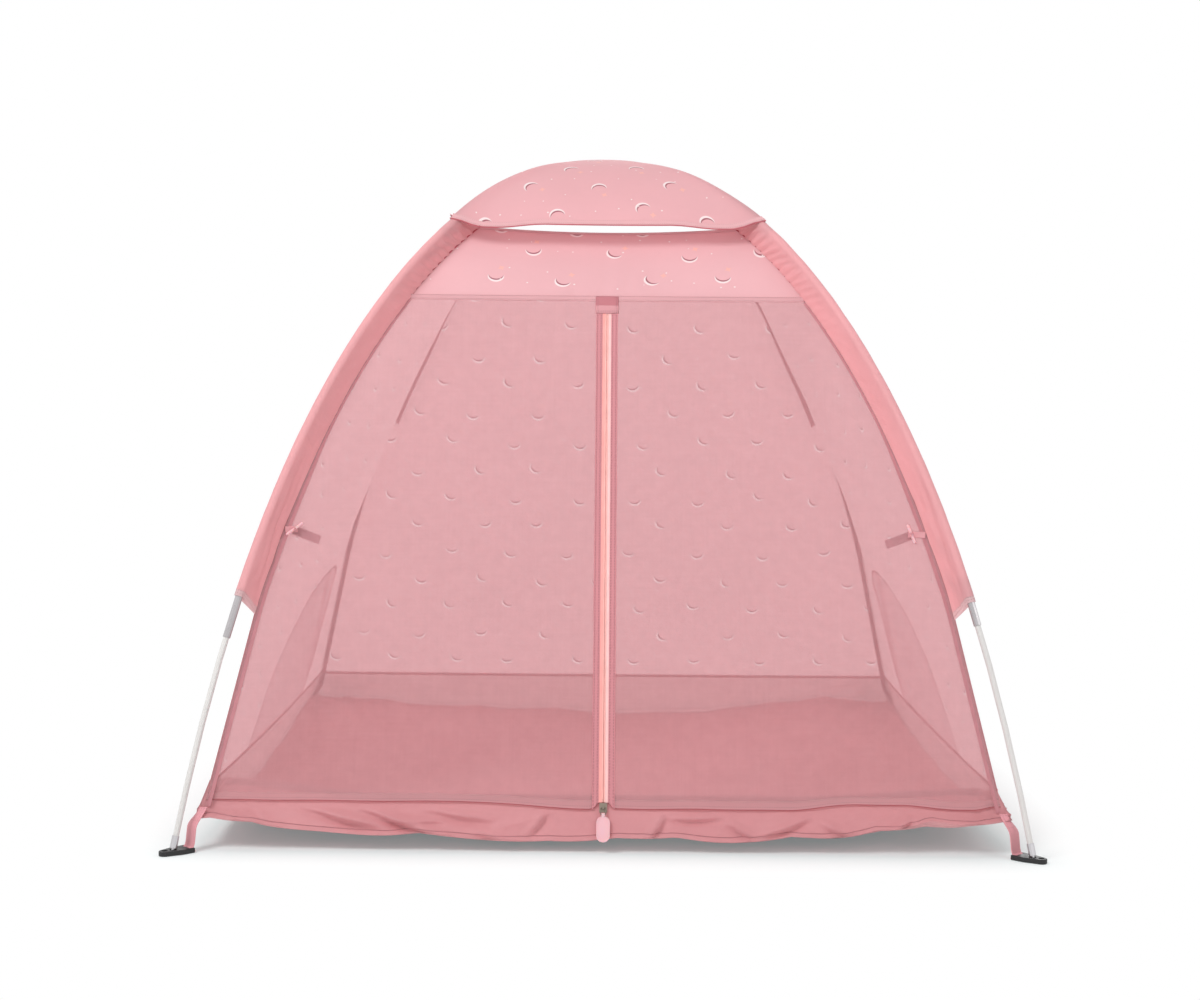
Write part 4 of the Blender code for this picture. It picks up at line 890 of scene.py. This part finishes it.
def zip_strip(name, side, near, far, material, lift, thick, ragged=0.0):
    """A strip of a leaf along the zip, between two distances from the zip's middle."""

    def at(up, k):
        x = near + (far + rough(up, 0, side, 18.0) * ragged - near) * k
        return door_at(side, x, up, lift + thick / 2), (up, x)

    ups = np.linspace(0.0005, PATCH_FOOT + 0.012, 150)
    shares = np.linspace(0, 1, 5)
    strip = grid_object(f"{name}_{SIDES[side]}_cloth", ups, shares, at, material, body=None, flip=side < 0)
    thicken(strip, thick)
    return strip


def zip_coil(side):
    """A leaf's half of the zip: a plastic coil whose teeth stand out in turn."""
    rows = []
    for i, up in enumerate(np.linspace(0.001, FOLD_TOP + SLIDER_LENGTH, 900)):
        tooth = 0.00025 * math.cos(math.pi * i)
        ring = [(0.0001, 0.0002), (0.0011 + tooth, 0.0011 + tooth), (0.0023, 0.0008), (0.0018, -0.0004)]
        rows.append([(door_at(side, x, up, out), (up, x)) for x, out in ring])
    return rows_object(f"zip_coil_{SIDES[side]}", rows, coil_plastic, body=None, closed=True, flip=side > 0)


def make_leaf(side):
    """A leaf of net with its half of the zip. Its fold line is worked out, but nothing bends about it."""
    word = SIDES[side]

    def at(up, k):
        x = TAPE_EDGE - 0.001 + (half_span(DOOR_HEM + up * DOOR_UP.z) - TAPE_EDGE + 0.001) * k
        return door_at(side, x, up), (x * side, up)

    ups = [*np.linspace(0, 0.06, 14)[:-1], *np.linspace(0.06, DOOR_LENGTH, 90)]
    shares = np.linspace(0, 1, 80)
    leaf = grid_object(f"door_leaf_{word}_net", ups, shares, at, leaf_net, body=None, flip=side < 0)
    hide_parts(f"door_side_{word}", f"door_flap_{word}")
    binding = zip_strip("zip_binding", side, TAPE_EDGE - 0.0005, 0.0162, binding_tape, 0.0003, 0.0007, 0.0006)
    tape = zip_strip("zip_tape", side, 0.0015, TAPE_EDGE + 0.0006, zip_tapes_with_painted_highlight[side], 0.0, 0.0008)
    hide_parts(f"zip_tape_{word}")
    coil = zip_coil(side)
    for obj in (leaf, coil, binding, tape):
        bend_with_door(obj, side)
    declare(leaf, 0.60, 0.80, "hung", ["front_panel_cloth"], coil, binding, tape)


# Groundsheet


def ridged(x, y, z):
    """Noise with sharp crests, from 0 to 1."""
    return max(1 - 2.4 * abs(noise_at(x, y, z)), 0.0)


# The larger creases of the front strip: place along it and height at both ends, half its width and its depth
SILL_CREASES = (
    ((-0.425, 0.064), (-0.295, 0.034), 0.0060, 0.0095),
    ((-0.345, 0.062), (-0.205, 0.020), 0.0052, 0.0105),
    ((-0.300, 0.046), (-0.215, 0.042), 0.0042, 0.0055),
    ((-0.520, 0.052), (-0.430, 0.024), 0.0055, 0.0070),
    ((-0.255, 0.060), (-0.150, 0.044), 0.0055, 0.0065),
    ((-0.180, 0.030), (-0.110, 0.014), 0.0050, 0.0055),
    ((-0.108, 0.020), (-0.078, 0.060), 0.0045, 0.0060),
    ((0.060, 0.018), (0.086, 0.056), 0.0045, 0.0070),
    ((0.086, 0.048), (0.170, 0.050), 0.0040, 0.0050),
    ((0.172, 0.044), (0.212, 0.022), 0.0045, 0.0065),
    ((0.215, 0.026), (0.290, 0.052), 0.0045, 0.0070),
    ((0.300, 0.046), (0.345, 0.026), 0.0045, 0.0055),
    ((0.380, 0.026), (0.430, 0.056), 0.0045, 0.0080),
    ((0.425, 0.046), (0.470, 0.034), 0.0040, 0.0055),
    ((0.480, 0.032), (0.520, 0.054), 0.0042, 0.0070),
)


def floor_at(x, y):
    """The sheet's height: its lifted corners, and creases that run from them and across the middle."""
    thickness = 0.0008
    edge = smooth(0.50, FOLD_HALF, max(abs(x), abs(y)))
    lift = math.hypot(CORNER_LIFT * (abs(x * y) / FOLD_HALF**2) ** 1.25, 0.0075 * edge)
    crease = 0.0
    for cx, cy in LEGS.values():
        dx, dy = FOLD_HALF * cx - x, FOLD_HALF * cy - y
        far = math.hypot(dx, dy)
        turn = math.atan2(dy * cy, dx * cx)
        ridge = ridged(turn * 5.2 + cx * 3 + cy * 7, far * 1.5, 0.5)
        crease += 0.0130 * ridge**2 * smooth(0, 0.10, far) * math.exp(-far / 0.45)
    crease += 0.0072 * ridged((x + y * 0.5) * 5, (y - x * 0.5) * 1.6, 2.0) ** 2
    crease += 0.0058 * ridged((x - y) * 3.2, (y + x) * 1.2, 7.0) ** 3
    return max(lift + crease, 0.0) + thickness


def corner_pull(spot):
    """The straps pull the sheet's corners outwards."""
    pull = 0.0045 * abs(spot.x * spot.y / FOLD_HALF**2) ** 10
    return spot + Vector((math.copysign(pull, spot.x), math.copysign(pull, spot.y), 0))


def front_crease(across, z):
    """The larger creases of the front strip, each a crest with a hollow beside it."""
    push = 0.0
    for (ax, az), (bx, bz), width, depth in SILL_CREASES:
        dx, dz = bx - ax, bz - az
        long = math.hypot(dx, dz)
        t = ((across - ax) * dx + (z - az) * dz) / long**2
        if not -0.05 < t < 1.05:
            continue
        off = ((across - ax) * dz - (z - az) * dx) / long
        off += 0.12 * width * math.sin(9 * t)
        off *= math.copysign(1, dx)
        ends = math.sin(math.pi * min(max(t, 0), 1)) ** 0.7
        hollow = 0.8 * math.exp(-(((off - 1.7 * width) / width) ** 2))
        push += depth * ends * (math.exp(-((off / width) ** 2)) - hollow)
    return push


def sill_push(across, height, side):
    """How far creases push the turned-up strip out, at a place along its side and a height above its fold."""
    push = 0.0
    for end in (-1, 1):
        run = FOLD_HALF - end * across
        turn = math.atan2(0.060 - height, run + 0.01)
        ridge = ridged(turn * 10.0 + 3.1 * side + 5 * end, run * 2.0, 0.3 * end)
        push += 0.0080 * (ridge**2.5 - 0.22) * smooth(0.0, 0.06, run) * math.exp(-run / 0.34)
        push += 0.0016 * math.sin(run * 330 + 40 * height) * math.exp(-run / 0.030)
    push += 0.0036 * (ridged(across * 5.0 - height * 16, height * 7, 5.0 + side) ** 2.5 - 0.2)
    return push + 0.0016 * noise_at(across * 24, height * 32, side)


def square_ring(half):
    """Places round a square, from its front left corner."""
    corners = list(LEGS.values())
    found = []
    for (ax, ay), (bx, by) in zip(corners, corners[1:] + corners[:1]):
        for k in range(RING_SIDE):
            share = k / RING_SIDE
            found.append(((ax + (bx - ax) * share) * half, (ay + (by - ay) * share) * half))
    return found


def before_net(x, z, to_corner):
    """How far back the strip may lie in front of the leaves' net, which it meets at the corner seams."""
    return front_depth(x, z) + 0.0028 * smooth(0, 0.012, to_corner)


def sill_top(tx, ty):
    """The turned-up strip's top over a place round a square, with its way out, place along and side."""
    half = half_span(STRIP_TOP)
    x, y = tx * half, ty * half
    along = min(abs(tx), abs(ty))
    depth = half - EDGE_BOW * (1 - along * along)
    if ty <= -1 + 1e-9:
        rise = 0.0190 * smooth(0.30, 0.55, -x) + 0.0130 * smooth(0.25, 0.55, x)
        z = STRIP_TOP - 0.0125 + rise
        return Vector((x, before_net(x, z, (1 - abs(tx)) * half), z)), Vector((0, -1, 0)), x, 0
    if ty >= 1 - 1e-9:
        return Vector((x, depth, STRIP_TOP)), Vector((0, 1, 0)), x, 1
    facing = Vector((math.copysign(1, tx), 0, 0))
    return Vector((facing.x * depth, y, STRIP_TOP)), facing, y, 2 + facing.x


def strip_at(share, place):
    """A spot on the turned-up strip. The front one lies against the leaves' net."""
    (spot, (fold_x, fold_y)), square = place
    top, facing, across, side = sill_top(*square)
    here = spot.lerp(top, share)
    calm = smooth(0, 0.15, share) * smooth(0.0, 0.30, 1 - share)
    push = sill_push(across, here.z - spot.z, side) * calm
    if facing.y < 0:
        behind = before_net(here.x, here.z, half_span(here.z) - abs(here.x))
        here.y += (max(behind, here.y) - here.y) * smooth(0.044, 0.060, here.z)
        push = push * 0.55 + front_crease(across, here.z)
        if push > 0:
            push *= smooth(0.02, 0.06, abs(across)) * smooth(0.064, 0.050, here.z)
    out = share * 0.075
    return here + facing * push, (fold_x + facing.x * out, fold_y + facing.y * out)


def make_groundsheet():
    """One tray of cloth: rings round the middle of the floor, then rings up the strip."""
    rows = []
    floor_rings, strip_rings = 56, 30
    for k in range(1, floor_rings + 1):
        ring = square_ring(FOLD_HALF * k / floor_rings)
        rows.append([(corner_pull(Vector((x, y, floor_at(x, y)))), (x, y)) for x, y in ring])
    places = list(zip(rows[-1], square_ring(1.0)))
    for k in range(1, strip_rings + 1):
        rows.append([strip_at(k / strip_rings, place) for place in places])
    sheet = rows_object("groundsheet_cloth", rows, floor_cloth, closed=True)

    def fill_middle(shape):
        middle = shape.verts.new((0, 0, floor_at(0, 0)))
        shape.verts.ensure_lookup_table()
        ring = shape.verts[: 4 * RING_SIDE]
        return [shape.faces.new((middle, b, a)) for a, b in zip(ring, ring[1:] + ring[:1])]

    add_faces(sheet, lambda spot: spot.xy, fill_middle)
    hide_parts("groundsheet")
    line = [spot + Vector((0, -0.0002, -0.004)) for spot, _ in rows[-1][4 : RING_SIDE - 3]]
    hem = strip_object("sill_hem", line, DOOR_OUT, 0.010, 0.0010, sill_tape)
    declare(sheet, 1.30, 1.30, "laid", ["floor"], hem)


# Cap


def cap_ridge(leg, k):
    """A place on the cap over a pole."""
    limit = CAP_FRONT if leg.startswith("front") else CAP_BACK
    spot = on_curve(max(limit * DIAGONAL * k, 1e-6), -0.0098)
    return in_leg(leg, spot.x, spot.y + 0.004 * max(0.0, 1 - k / 0.25))


def cap_at(k, position):
    """A place on the cap: k from 0 at the crossing to 1 at the hem, position from 0 to 4 round the legs."""
    names = list(LEGS)
    index = int(position) % 4
    share = position - int(position)
    spot = cap_ridge(names[index], k).lerp(cap_ridge(names[(index + 1) % 4], k), share)
    bulge = 4 * share * (1 - share)
    side = min(share, 1 - share)
    droop = 0.0120 * smooth(0.0, 0.10, side) - 0.0070 * smooth(0.14, 0.30, side)
    rise = -0.004 * bulge * k + 0.010 * bulge * k * (1 - k) - droop * k**3
    return spot + Vector((-0.008 * (1 - k * k), 0, rise))


def cap_uv(spot):
    """Distances over the cap from its crossing, to the side and to the back."""
    drop = max(pole_height(abs(spot.x) * DIAGONAL) - pole_height(abs(spot.y) * DIAGONAL), 0)
    return spot.x * 1.04 + 0.013, 0.031 - math.copysign(math.hypot(spot.y, drop), spot.y)


def make_cap():
    around = 4 * 28

    def at(k, j):
        spot = cap_at(k, 4 * j / around)
        wave = rough(spot.x, spot.y, 0, 9.0, 6.0) * 0.0016 * smooth(0.0, 0.25, k) * smooth(0, 0.1, 1 - k)
        return spot + Vector((0, 0, wave)), cap_uv(spot)

    cap = grid_object("cap_cloth", np.linspace(0.03, 1, 34), range(around), at, cap_cloth, closed=True)
    add_faces(cap, cap_uv, lambda shape: [shape.faces.new(shape.verts[:around][::-1])])
    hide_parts("cap")
    count = 120
    edge = [cap_at(1.0, 4 * j / count) for j in range(count + 1)]
    line = [cap_at(0.985, 4 * j / count) for j in range(count + 1)]
    outs = []
    for j, spot in enumerate(line):
        normal = (edge[j] - cap_at(0.9, 4 * j / count)).cross(line[(j + 1) % count] - spot)
        outs.append((-normal if normal.z < 0 else normal).normalized())
    hem = strip_object("cap_hem", line, outs, 0.010, 0.0009, cap_hem_cloth, lift=0.0004)
    # A dark cord along the cap's edge: painted shade of the hem's underside
    rim = tube_object("cap_edge_painted_shade", edge[:-1], 0.0009, deep_edge, closed=True)
    declare(cap, 0.56, 0.52, "stretched", ["sleeve_front_left_cloth", "sleeve_back_right_cloth"], hem, rim)


# Sleeves and corner seams


def leg_seed(leg):
    x, y = LEGS[leg]
    return 11.0 + 3 * x + 5 * y


def wrinkle(leg, length, left, k, face):
    """How far a sleeve's flat part is pushed out, at a share of the way from its seam to the pole."""
    seed = leg_seed(leg)
    deep = 0.0062 if leg.endswith("left") else 0.0046
    upper, lower = smooth(0.56, 0.34, length), smooth(0.30, 0.08, left)
    slant = noise_at(length * 30 - k * 3.0, k * 0.8, seed + face * 3)
    bend = noise_at(length * 22 - k * 2.0, k, seed)
    fine = noise_at(length * 60 - k * 4.0, k * 2.0, seed + face * 5)
    fold = noise_at(k * 3.6 + length * 7.0, length * 3.0, seed + face * 7)
    gather = noise_at(length * 20, seed + 2, 0)
    pleat = 0.5 - abs(math.sin(math.pi * (length / 0.0155 - k * 1.4) + 1.6 * bend))
    push = upper * (deep * face * pleat + 0.0016 * slant)
    push += 0.0044 * lower * (0.25 - abs(fold) * 2.0)
    push += 0.0010 * fine + face * gather * 0.0024
    return push * math.sin(math.pi * (0.1 + 0.9 * k)) ** 0.7 * smooth(0, 0.012, left + 0.004)


def sleeve_ring(leg, reach, length, left):
    """The sleeve's section at one place: round over the pole, and flat down to its seam."""
    beside = leg_ways(leg)[1]
    middle, in_way = in_leg(leg, reach, pole_height(reach)), in_leg(leg, *inward(reach))
    full = reach > ROOF_REACH - 1e-6
    tail = FIN_WIDTH - 0.0002 if full else SLEEVE_RADIUS + 0.003
    down = in_leg(leg, *(SEAM_FOOT - FIN_END).normalized())
    root = middle + in_way * tail + down * (FIN_SLANT * smooth(0.032, 0.0, left) if full else 0.0)
    radius = SLEEVE_RADIUS * (1 + 0.07 * noise_at(length * 30, leg_seed(leg), 0))
    touch = math.acos(radius / tail)

    def round_at(turn):
        return middle + in_way * (radius * math.cos(turn)) + beside * (radius * math.sin(turn))

    sides = []
    for face in (1, -1):
        flat = []
        for k in np.linspace(0, 1, 9)[:-1]:
            push = 0.0005 * (1 - k) + (wrinkle(leg, length, left, k, face) if full else 0.0)
            spot = root.lerp(round_at(face * touch), k) + beside * (face * push)
            flat.append((spot, (-left, face * (-0.044 + 0.033 * k))))
        sides.append(flat)
    turns = np.linspace(touch, math.tau - touch, 15)
    bend = [(round_at(a), (-left, -0.011 + 0.022 * (a - touch) / (math.tau - 2 * touch))) for a in turns]
    return sides[0] + bend + sides[1][::-1]


def make_sleeve(leg):
    top = 0.06 if leg.startswith("front") else 0.05
    reaches = [*np.linspace(top, ROOF_REACH - 0.001, 14), *np.linspace(ROOF_REACH, SLEEVE_END_REACH, 300)]
    lengths = walked([in_leg(leg, reach, pole_height(reach)) for reach in reaches])
    rows = [sleeve_ring(leg, reach, length, lengths[-1] - length) for reach, length in zip(reaches, lengths)]
    sleeve = rows_object(f"sleeve_{leg}_cloth", rows, sleeve_cloth, flip=True)
    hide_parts(f"sleeve_{leg}")
    declare(sleeve, 0.10, 0.98, "stretched", ["upper_pole_section_2"], *make_corner_seams(leg))


def make_corner_seams(leg):
    """Flat tape along both sides of a body corner, and inside a back corner a wide dark strip: partly its
    seam allowance, partly painted shade of the sleeve and fin outside.
    """
    x, y = LEGS[leg]
    points = [p for p in SEAM[::4] if p.y > CORNER_LIFT + 0.016]
    widths = [0.0032 + 0.0046 * (smooth(0.62, 0.48, p.y) if y < 0 else 1) for p in points]
    front_line, side_line = [], []
    for p, wide in zip(points, widths):
        half = p.x / DIAGONAL
        near = half - 0.0011 - wide / 2
        depth = front_depth(near, p.y) if y < 0 else half
        front_line.append(Vector((x * near, depth, p.y)))
        side_line.append(Vector((x * half, y * (half - 0.0050), p.y)))
    lean = DOOR_OUT if y < 0 else Vector((0, y, 0))
    low = [spot for spot in front_line if y > 0 or spot.z < PANEL_HEM + 0.003]
    made = [
        strip_object(f"corner_tape_{leg}_a", low, lean, widths[-len(low) :], 0.0008, seam_tape, lift=-0.0004),
        strip_object(f"corner_tape_{leg}_b", side_line, Vector((x, 0, 0)), 0.0078, 0.0009, seam_tape),
    ]
    if y < 0:
        thin = [spot + Vector((x * 0.0042, 0, 0)) for spot in front_line if spot.z > PANEL_HEM - 0.004]
        made.append(strip_object(f"corner_line_{leg}", thin, lean, 0.0022, 0.0009, deep_edge))
    else:
        # Inside a back corner: a dark strip up to 31 mm wide, partly the seam allowance and partly painted
        # shade where the sleeve and fin block light through the walls
        upper = [p for p in points if 0.585 < p.y < 0.85]
        widths = [0.013 + 0.018 * smooth(0.84, 0.70, p.y) for p in upper]
        inside = [in_leg(leg, p.x - 0.002 - wide / 2, p.y) for p, wide in zip(upper, widths)]
        beside = leg_ways(leg)[1]
        made.append(strip_object(f"corner_allowance_painted_shade_{leg}", inside, beside, widths, 0.0010, seam_tape))
    return made


# Webbing and ties

# The webbing's way down to its clip and through it: distance out along the leg, and height
WEBBING_LINE = (
    (0.8185, 0.0125), (0.8205, 0.0068), (0.8243, 0.0058),
    (0.8245, 0.0020), (0.8205, 0.0014), (0.8170, 0.0016),
)


def make_corner(leg):
    """A webbing strap: folded round the sheet's corner at its top, and flat through the clip."""
    x, y = LEGS[leg]
    beside = leg_ways(leg)[1]
    corner = Vector(((FOLD_HALF + 0.0045) * DIAGONAL, CORNER_LIFT + 0.002))
    above = Vector((half_span(STRIP_TOP) * DIAGONAL, STRIP_TOP))
    start = [corner.lerp(above, 0.40) + Vector((0.0012, 0)), corner + Vector((0.0030, -0.002))]
    key = start + [Vector(spot) for spot in WEBBING_LINE]
    line = [a.lerp(b, k / 6) for a, b in zip(key, key[1:]) for k in range(6)] + key[-1:]
    middle = [a * 0.25 + b * 0.5 + c * 0.25 for a, b, c in zip(line, line[1:], line[2:])]
    spots = [in_leg(leg, *spot) for spot in line[:1] + middle + line[-1:]]

    def at(place, across):
        spot, length = place
        face = Vector((-x, 0, 0)) if beside.x * across * x < 0 else Vector((0, -y, 0))
        flat, bent = spot + beside * across, spot + face * abs(across)
        return flat.lerp(bent, smooth(0.032, 0.002, length)), (length, across)

    places, across = list(zip(spots, walked(spots))), np.linspace(-0.0108, 0.0108, 13)
    strap = grid_object(f"corner_webbing_{leg}_strap", places, across, at, strap_tape)
    thicken(strap, 0.0011)
    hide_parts(f"corner_webbing_{leg}")
    declare(strap, 0.0216, 0.072, "stretched", ["groundsheet_cloth", f"corner_clip_{leg}"])


def tie_frame(side):
    """Where a tie is sewn to the front, and the ways across it, up it and out of it."""
    x = half_span(TIE_HEIGHT) - (0.014 if side < 0 else 0.021)
    up = (TIE_HEIGHT - DOOR_HEM) / DOOR_UP.z
    across = (door_at(side, x + 0.004, up) - door_at(side, x - 0.004, up)).normalized()
    if across.x < 0:
        across = -across
    climb = (door_at(side, x, up + 0.004) - door_at(side, x, up - 0.004)).normalized()
    outward = across.cross(climb)
    if outward.y > 0:
        outward = -outward
    return door_at(side, x, up), across, climb, outward.normalized()


def make_tie(side):
    """A loop strip with a toggle's cord in front of the net, and a strap behind it."""
    word = SIDES[side]
    spot, across, climb, outward = tie_frame(side)
    away = across * side
    reach = 0.013 if side < 0 else 0.020
    line = [spot + away * d + outward * 0.0010 for d in np.linspace(reach, -0.005, 10)]
    strip = strip_object(f"tie_loop_{word}_strip", line, outward, 0.009, 0.0010, webbing_tape)
    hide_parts(f"tie_loop_{word}")
    lo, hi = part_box(f"toggle_{word}")
    centre = (lo + hi) / 2
    stem = [centre - outward * 0.0045, centre + outward * 0.0040]
    cord = tube_object(f"tie_cord_{word}", stem, 0.0009, trim_tape)
    stem = [centre + outward * 0.0034, centre + outward * 0.0048]
    knot = tube_object(f"tie_knot_{word}", stem, 0.0018, trim_tape)
    tilt = math.radians(22)
    run = -away * math.cos(tilt) - climb * math.sin(tilt)
    waves = [(d, 0.0030 + 0.0012 * math.sin(d * 90)) for d in np.linspace(0.0, 0.042, 12)]
    line = [spot + run * d - outward * behind for d, behind in waves]
    strap = strip_object(f"tie_strap_{word}_strip", line, outward, 0.013, 0.0010, seam_tape)
    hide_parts(f"tie_strap_{word}")
    declare(strip, 0.010, reach + 0.006, "stretched", [f"door_leaf_{word}_net"], cord, knot)
    declare(strap, 0.013, 0.044, "stretched", [f"door_leaf_{word}_net"])


# Pieces kept from the CAD frame


def dress(node, material, bevel=0.0, segments=2):
    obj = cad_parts[node]
    obj.data.materials.clear()
    obj.data.materials.append(material)
    for face in obj.data.polygons:
        face.use_smooth = True
    obj.data.set_sharp_from_angle(angle=math.radians(38))
    if bevel:
        edge = obj.modifiers.new("soft_edges", "BEVEL")
        edge.width = bevel
        edge.segments = segments
        edge.limit_method = "ANGLE"
        edge.angle_limit = math.radians(35)
        edge.use_clamp_overlap = True


def dress_cad():
    for pole in ("upper", "lower"):
        for i in range(1, 6):
            dress(f"{pole}_pole_section_{i}", fibreglass)
        for i in range(1, 5):
            dress(f"{pole}_pole_ferrule_{i}", ferrule_metal)
        dress(f"{pole}_pole_shock_cord", elastic)
    for leg in LEGS:
        dress(f"pole_tip_{leg}", tip_metal, 0.0003)
        dress(f"corner_clip_{leg}", black_plastic)
    for node in ("zip_slider", "zip_pull"):
        dress(node, slider_metal)
    dress("zip_tab", soft_plastic, 0.0009, 3)
    for word in SIDES.values():
        dress(f"toggle_{word}", soft_plastic)


# Stage


def make_stage():
    """A pale floor that keeps the object's shadow, with painted shade and a painted glow round the object.
    Away from the object the camera sees it as plain white.
    """
    bpy.ops.mesh.primitive_plane_add(size=16, location=(0, 0, -0.0005))
    floor = bpy.context.object
    floor.name = "floor"
    g = Graph(bpy.data.materials.new("stage_floor"))
    where = g.node("ShaderNodeTexCoord", out="Object")
    colour = g.vary(g.noise(where, 1.5), (0.91, 0.91, 0.91), (0.94, 0.94, 0.94))
    white = g.node("ShaderNodeEmission", {"Color": (1.0, 1.0, 1.0), "Strength": 1.0})
    sides = [abs(part) for part in g.node("ShaderNodeSeparateXYZ", {0: where}, (0, 1))]
    away = g.ramp(g.calc("SMOOTH_MAX", *sides, 0.1), 0.575, 0.70)
    # The camera sees the floor near the object painted darker and blue-green, with a painted glow added:
    # painted shade round the object, whose shadow the glow lifts and greys
    near = g.node("ShaderNodeBsdfDiffuse", {"Color": g.mix(away, (0.62, 0.66, 0.66), colour)})
    painted_glow = g.node("ShaderNodeEmission", {"Color": (0.160, 0.196, 0.196), "Strength": 1.0})
    seen = g.either(away, g.node("ShaderNodeAddShader", {0: near, 1: painted_glow}), white)
    plain = g.node("ShaderNodeBsdfDiffuse", {"Color": colour})
    floor.data.materials.append(g.done(g.either(g.shown(), plain, seen)))


def make_world():
    """Soft light from all round, which the camera sees as plain white."""
    g = Graph(bpy.data.worlds.new("studio"))
    light = g.node("ShaderNodeBackground", {"Color": (1, 0.995, 0.99), "Strength": 0.55})
    seen = g.node("ShaderNodeBackground", {"Color": (1, 1, 1), "Strength": 1.0})
    bpy.context.scene.world = g.done(g.either(g.shown(), light, seen), "ShaderNodeOutputWorld")


def soft_light(name, place, aim, size, power):
    data = bpy.data.lights.new(name, "AREA")
    data.shape = "RECTANGLE"
    data.size = data.size_y = size
    data.energy = power
    obj = bpy.data.objects.new(name, data)
    bpy.context.scene.collection.objects.link(obj)
    obj.location = place
    obj.rotation_mode = "QUATERNION"
    obj.rotation_quaternion = (Vector(place) - Vector(aim)).to_track_quat("Z", "Y")


def make_lights():
    soft_light("key", (-1.9, -2.6, 3.1), (0, 0, 0.4), 1.4, 84)
    soft_light("fill", (2.6, -2.4, 2.0), (0, 0, 0.4), 2.4, 22)
    soft_light("top", (0.0, 0.6, 3.3), (0, 0, 0.4), 2.6, 6)
    soft_light("back", (0.6, 3.6, 1.8), (0, 0, 0.5), 2.6, 37)


def make_camera():
    """The photo's own camera, fitted to it: a focal length of 1982 pixels in a picture 1200 wide."""
    data = bpy.data.cameras.new("photo_camera")
    data.sensor_width = 36
    data.sensor_fit = "HORIZONTAL"
    data.lens = 1982 / 1200 * data.sensor_width
    data.clip_start, data.clip_end = 0.05, 60
    camera = bpy.data.objects.new("photo_camera", data)
    bpy.context.scene.collection.objects.link(camera)
    yaw, pitch, roll = -0.0003, -0.0555, 0.0087
    forward = Vector((math.sin(yaw) * math.cos(pitch), math.cos(yaw) * math.cos(pitch), math.sin(pitch)))
    level = forward.cross(Vector((0, 0, 1))).normalized()
    above = level.cross(forward)
    right = level * math.cos(roll) + above * math.sin(roll)
    up = above * math.cos(roll) - level * math.sin(roll)
    turn = Matrix((right, up, -forward)).transposed().to_4x4()
    camera.matrix_world = Matrix.Translation((-0.0075, -3.3271, 0.6508)) @ turn
    bpy.context.scene.camera = camera


dress_cad()
for leg in LEGS:
    make_sleeve(leg)
    make_corner(leg)
make_back_wall()
for side in SIDES:
    make_side_wall(side)
make_front_panel()
make_zip_patch()
make_roof_net()
make_cap()
make_groundsheet()
for side in SIDES:
    make_leaf(side)
    make_tie(side)
make_stage()
make_world()
make_lights()
make_camera()
bpy.context.scene.view_settings.view_transform = "Standard"
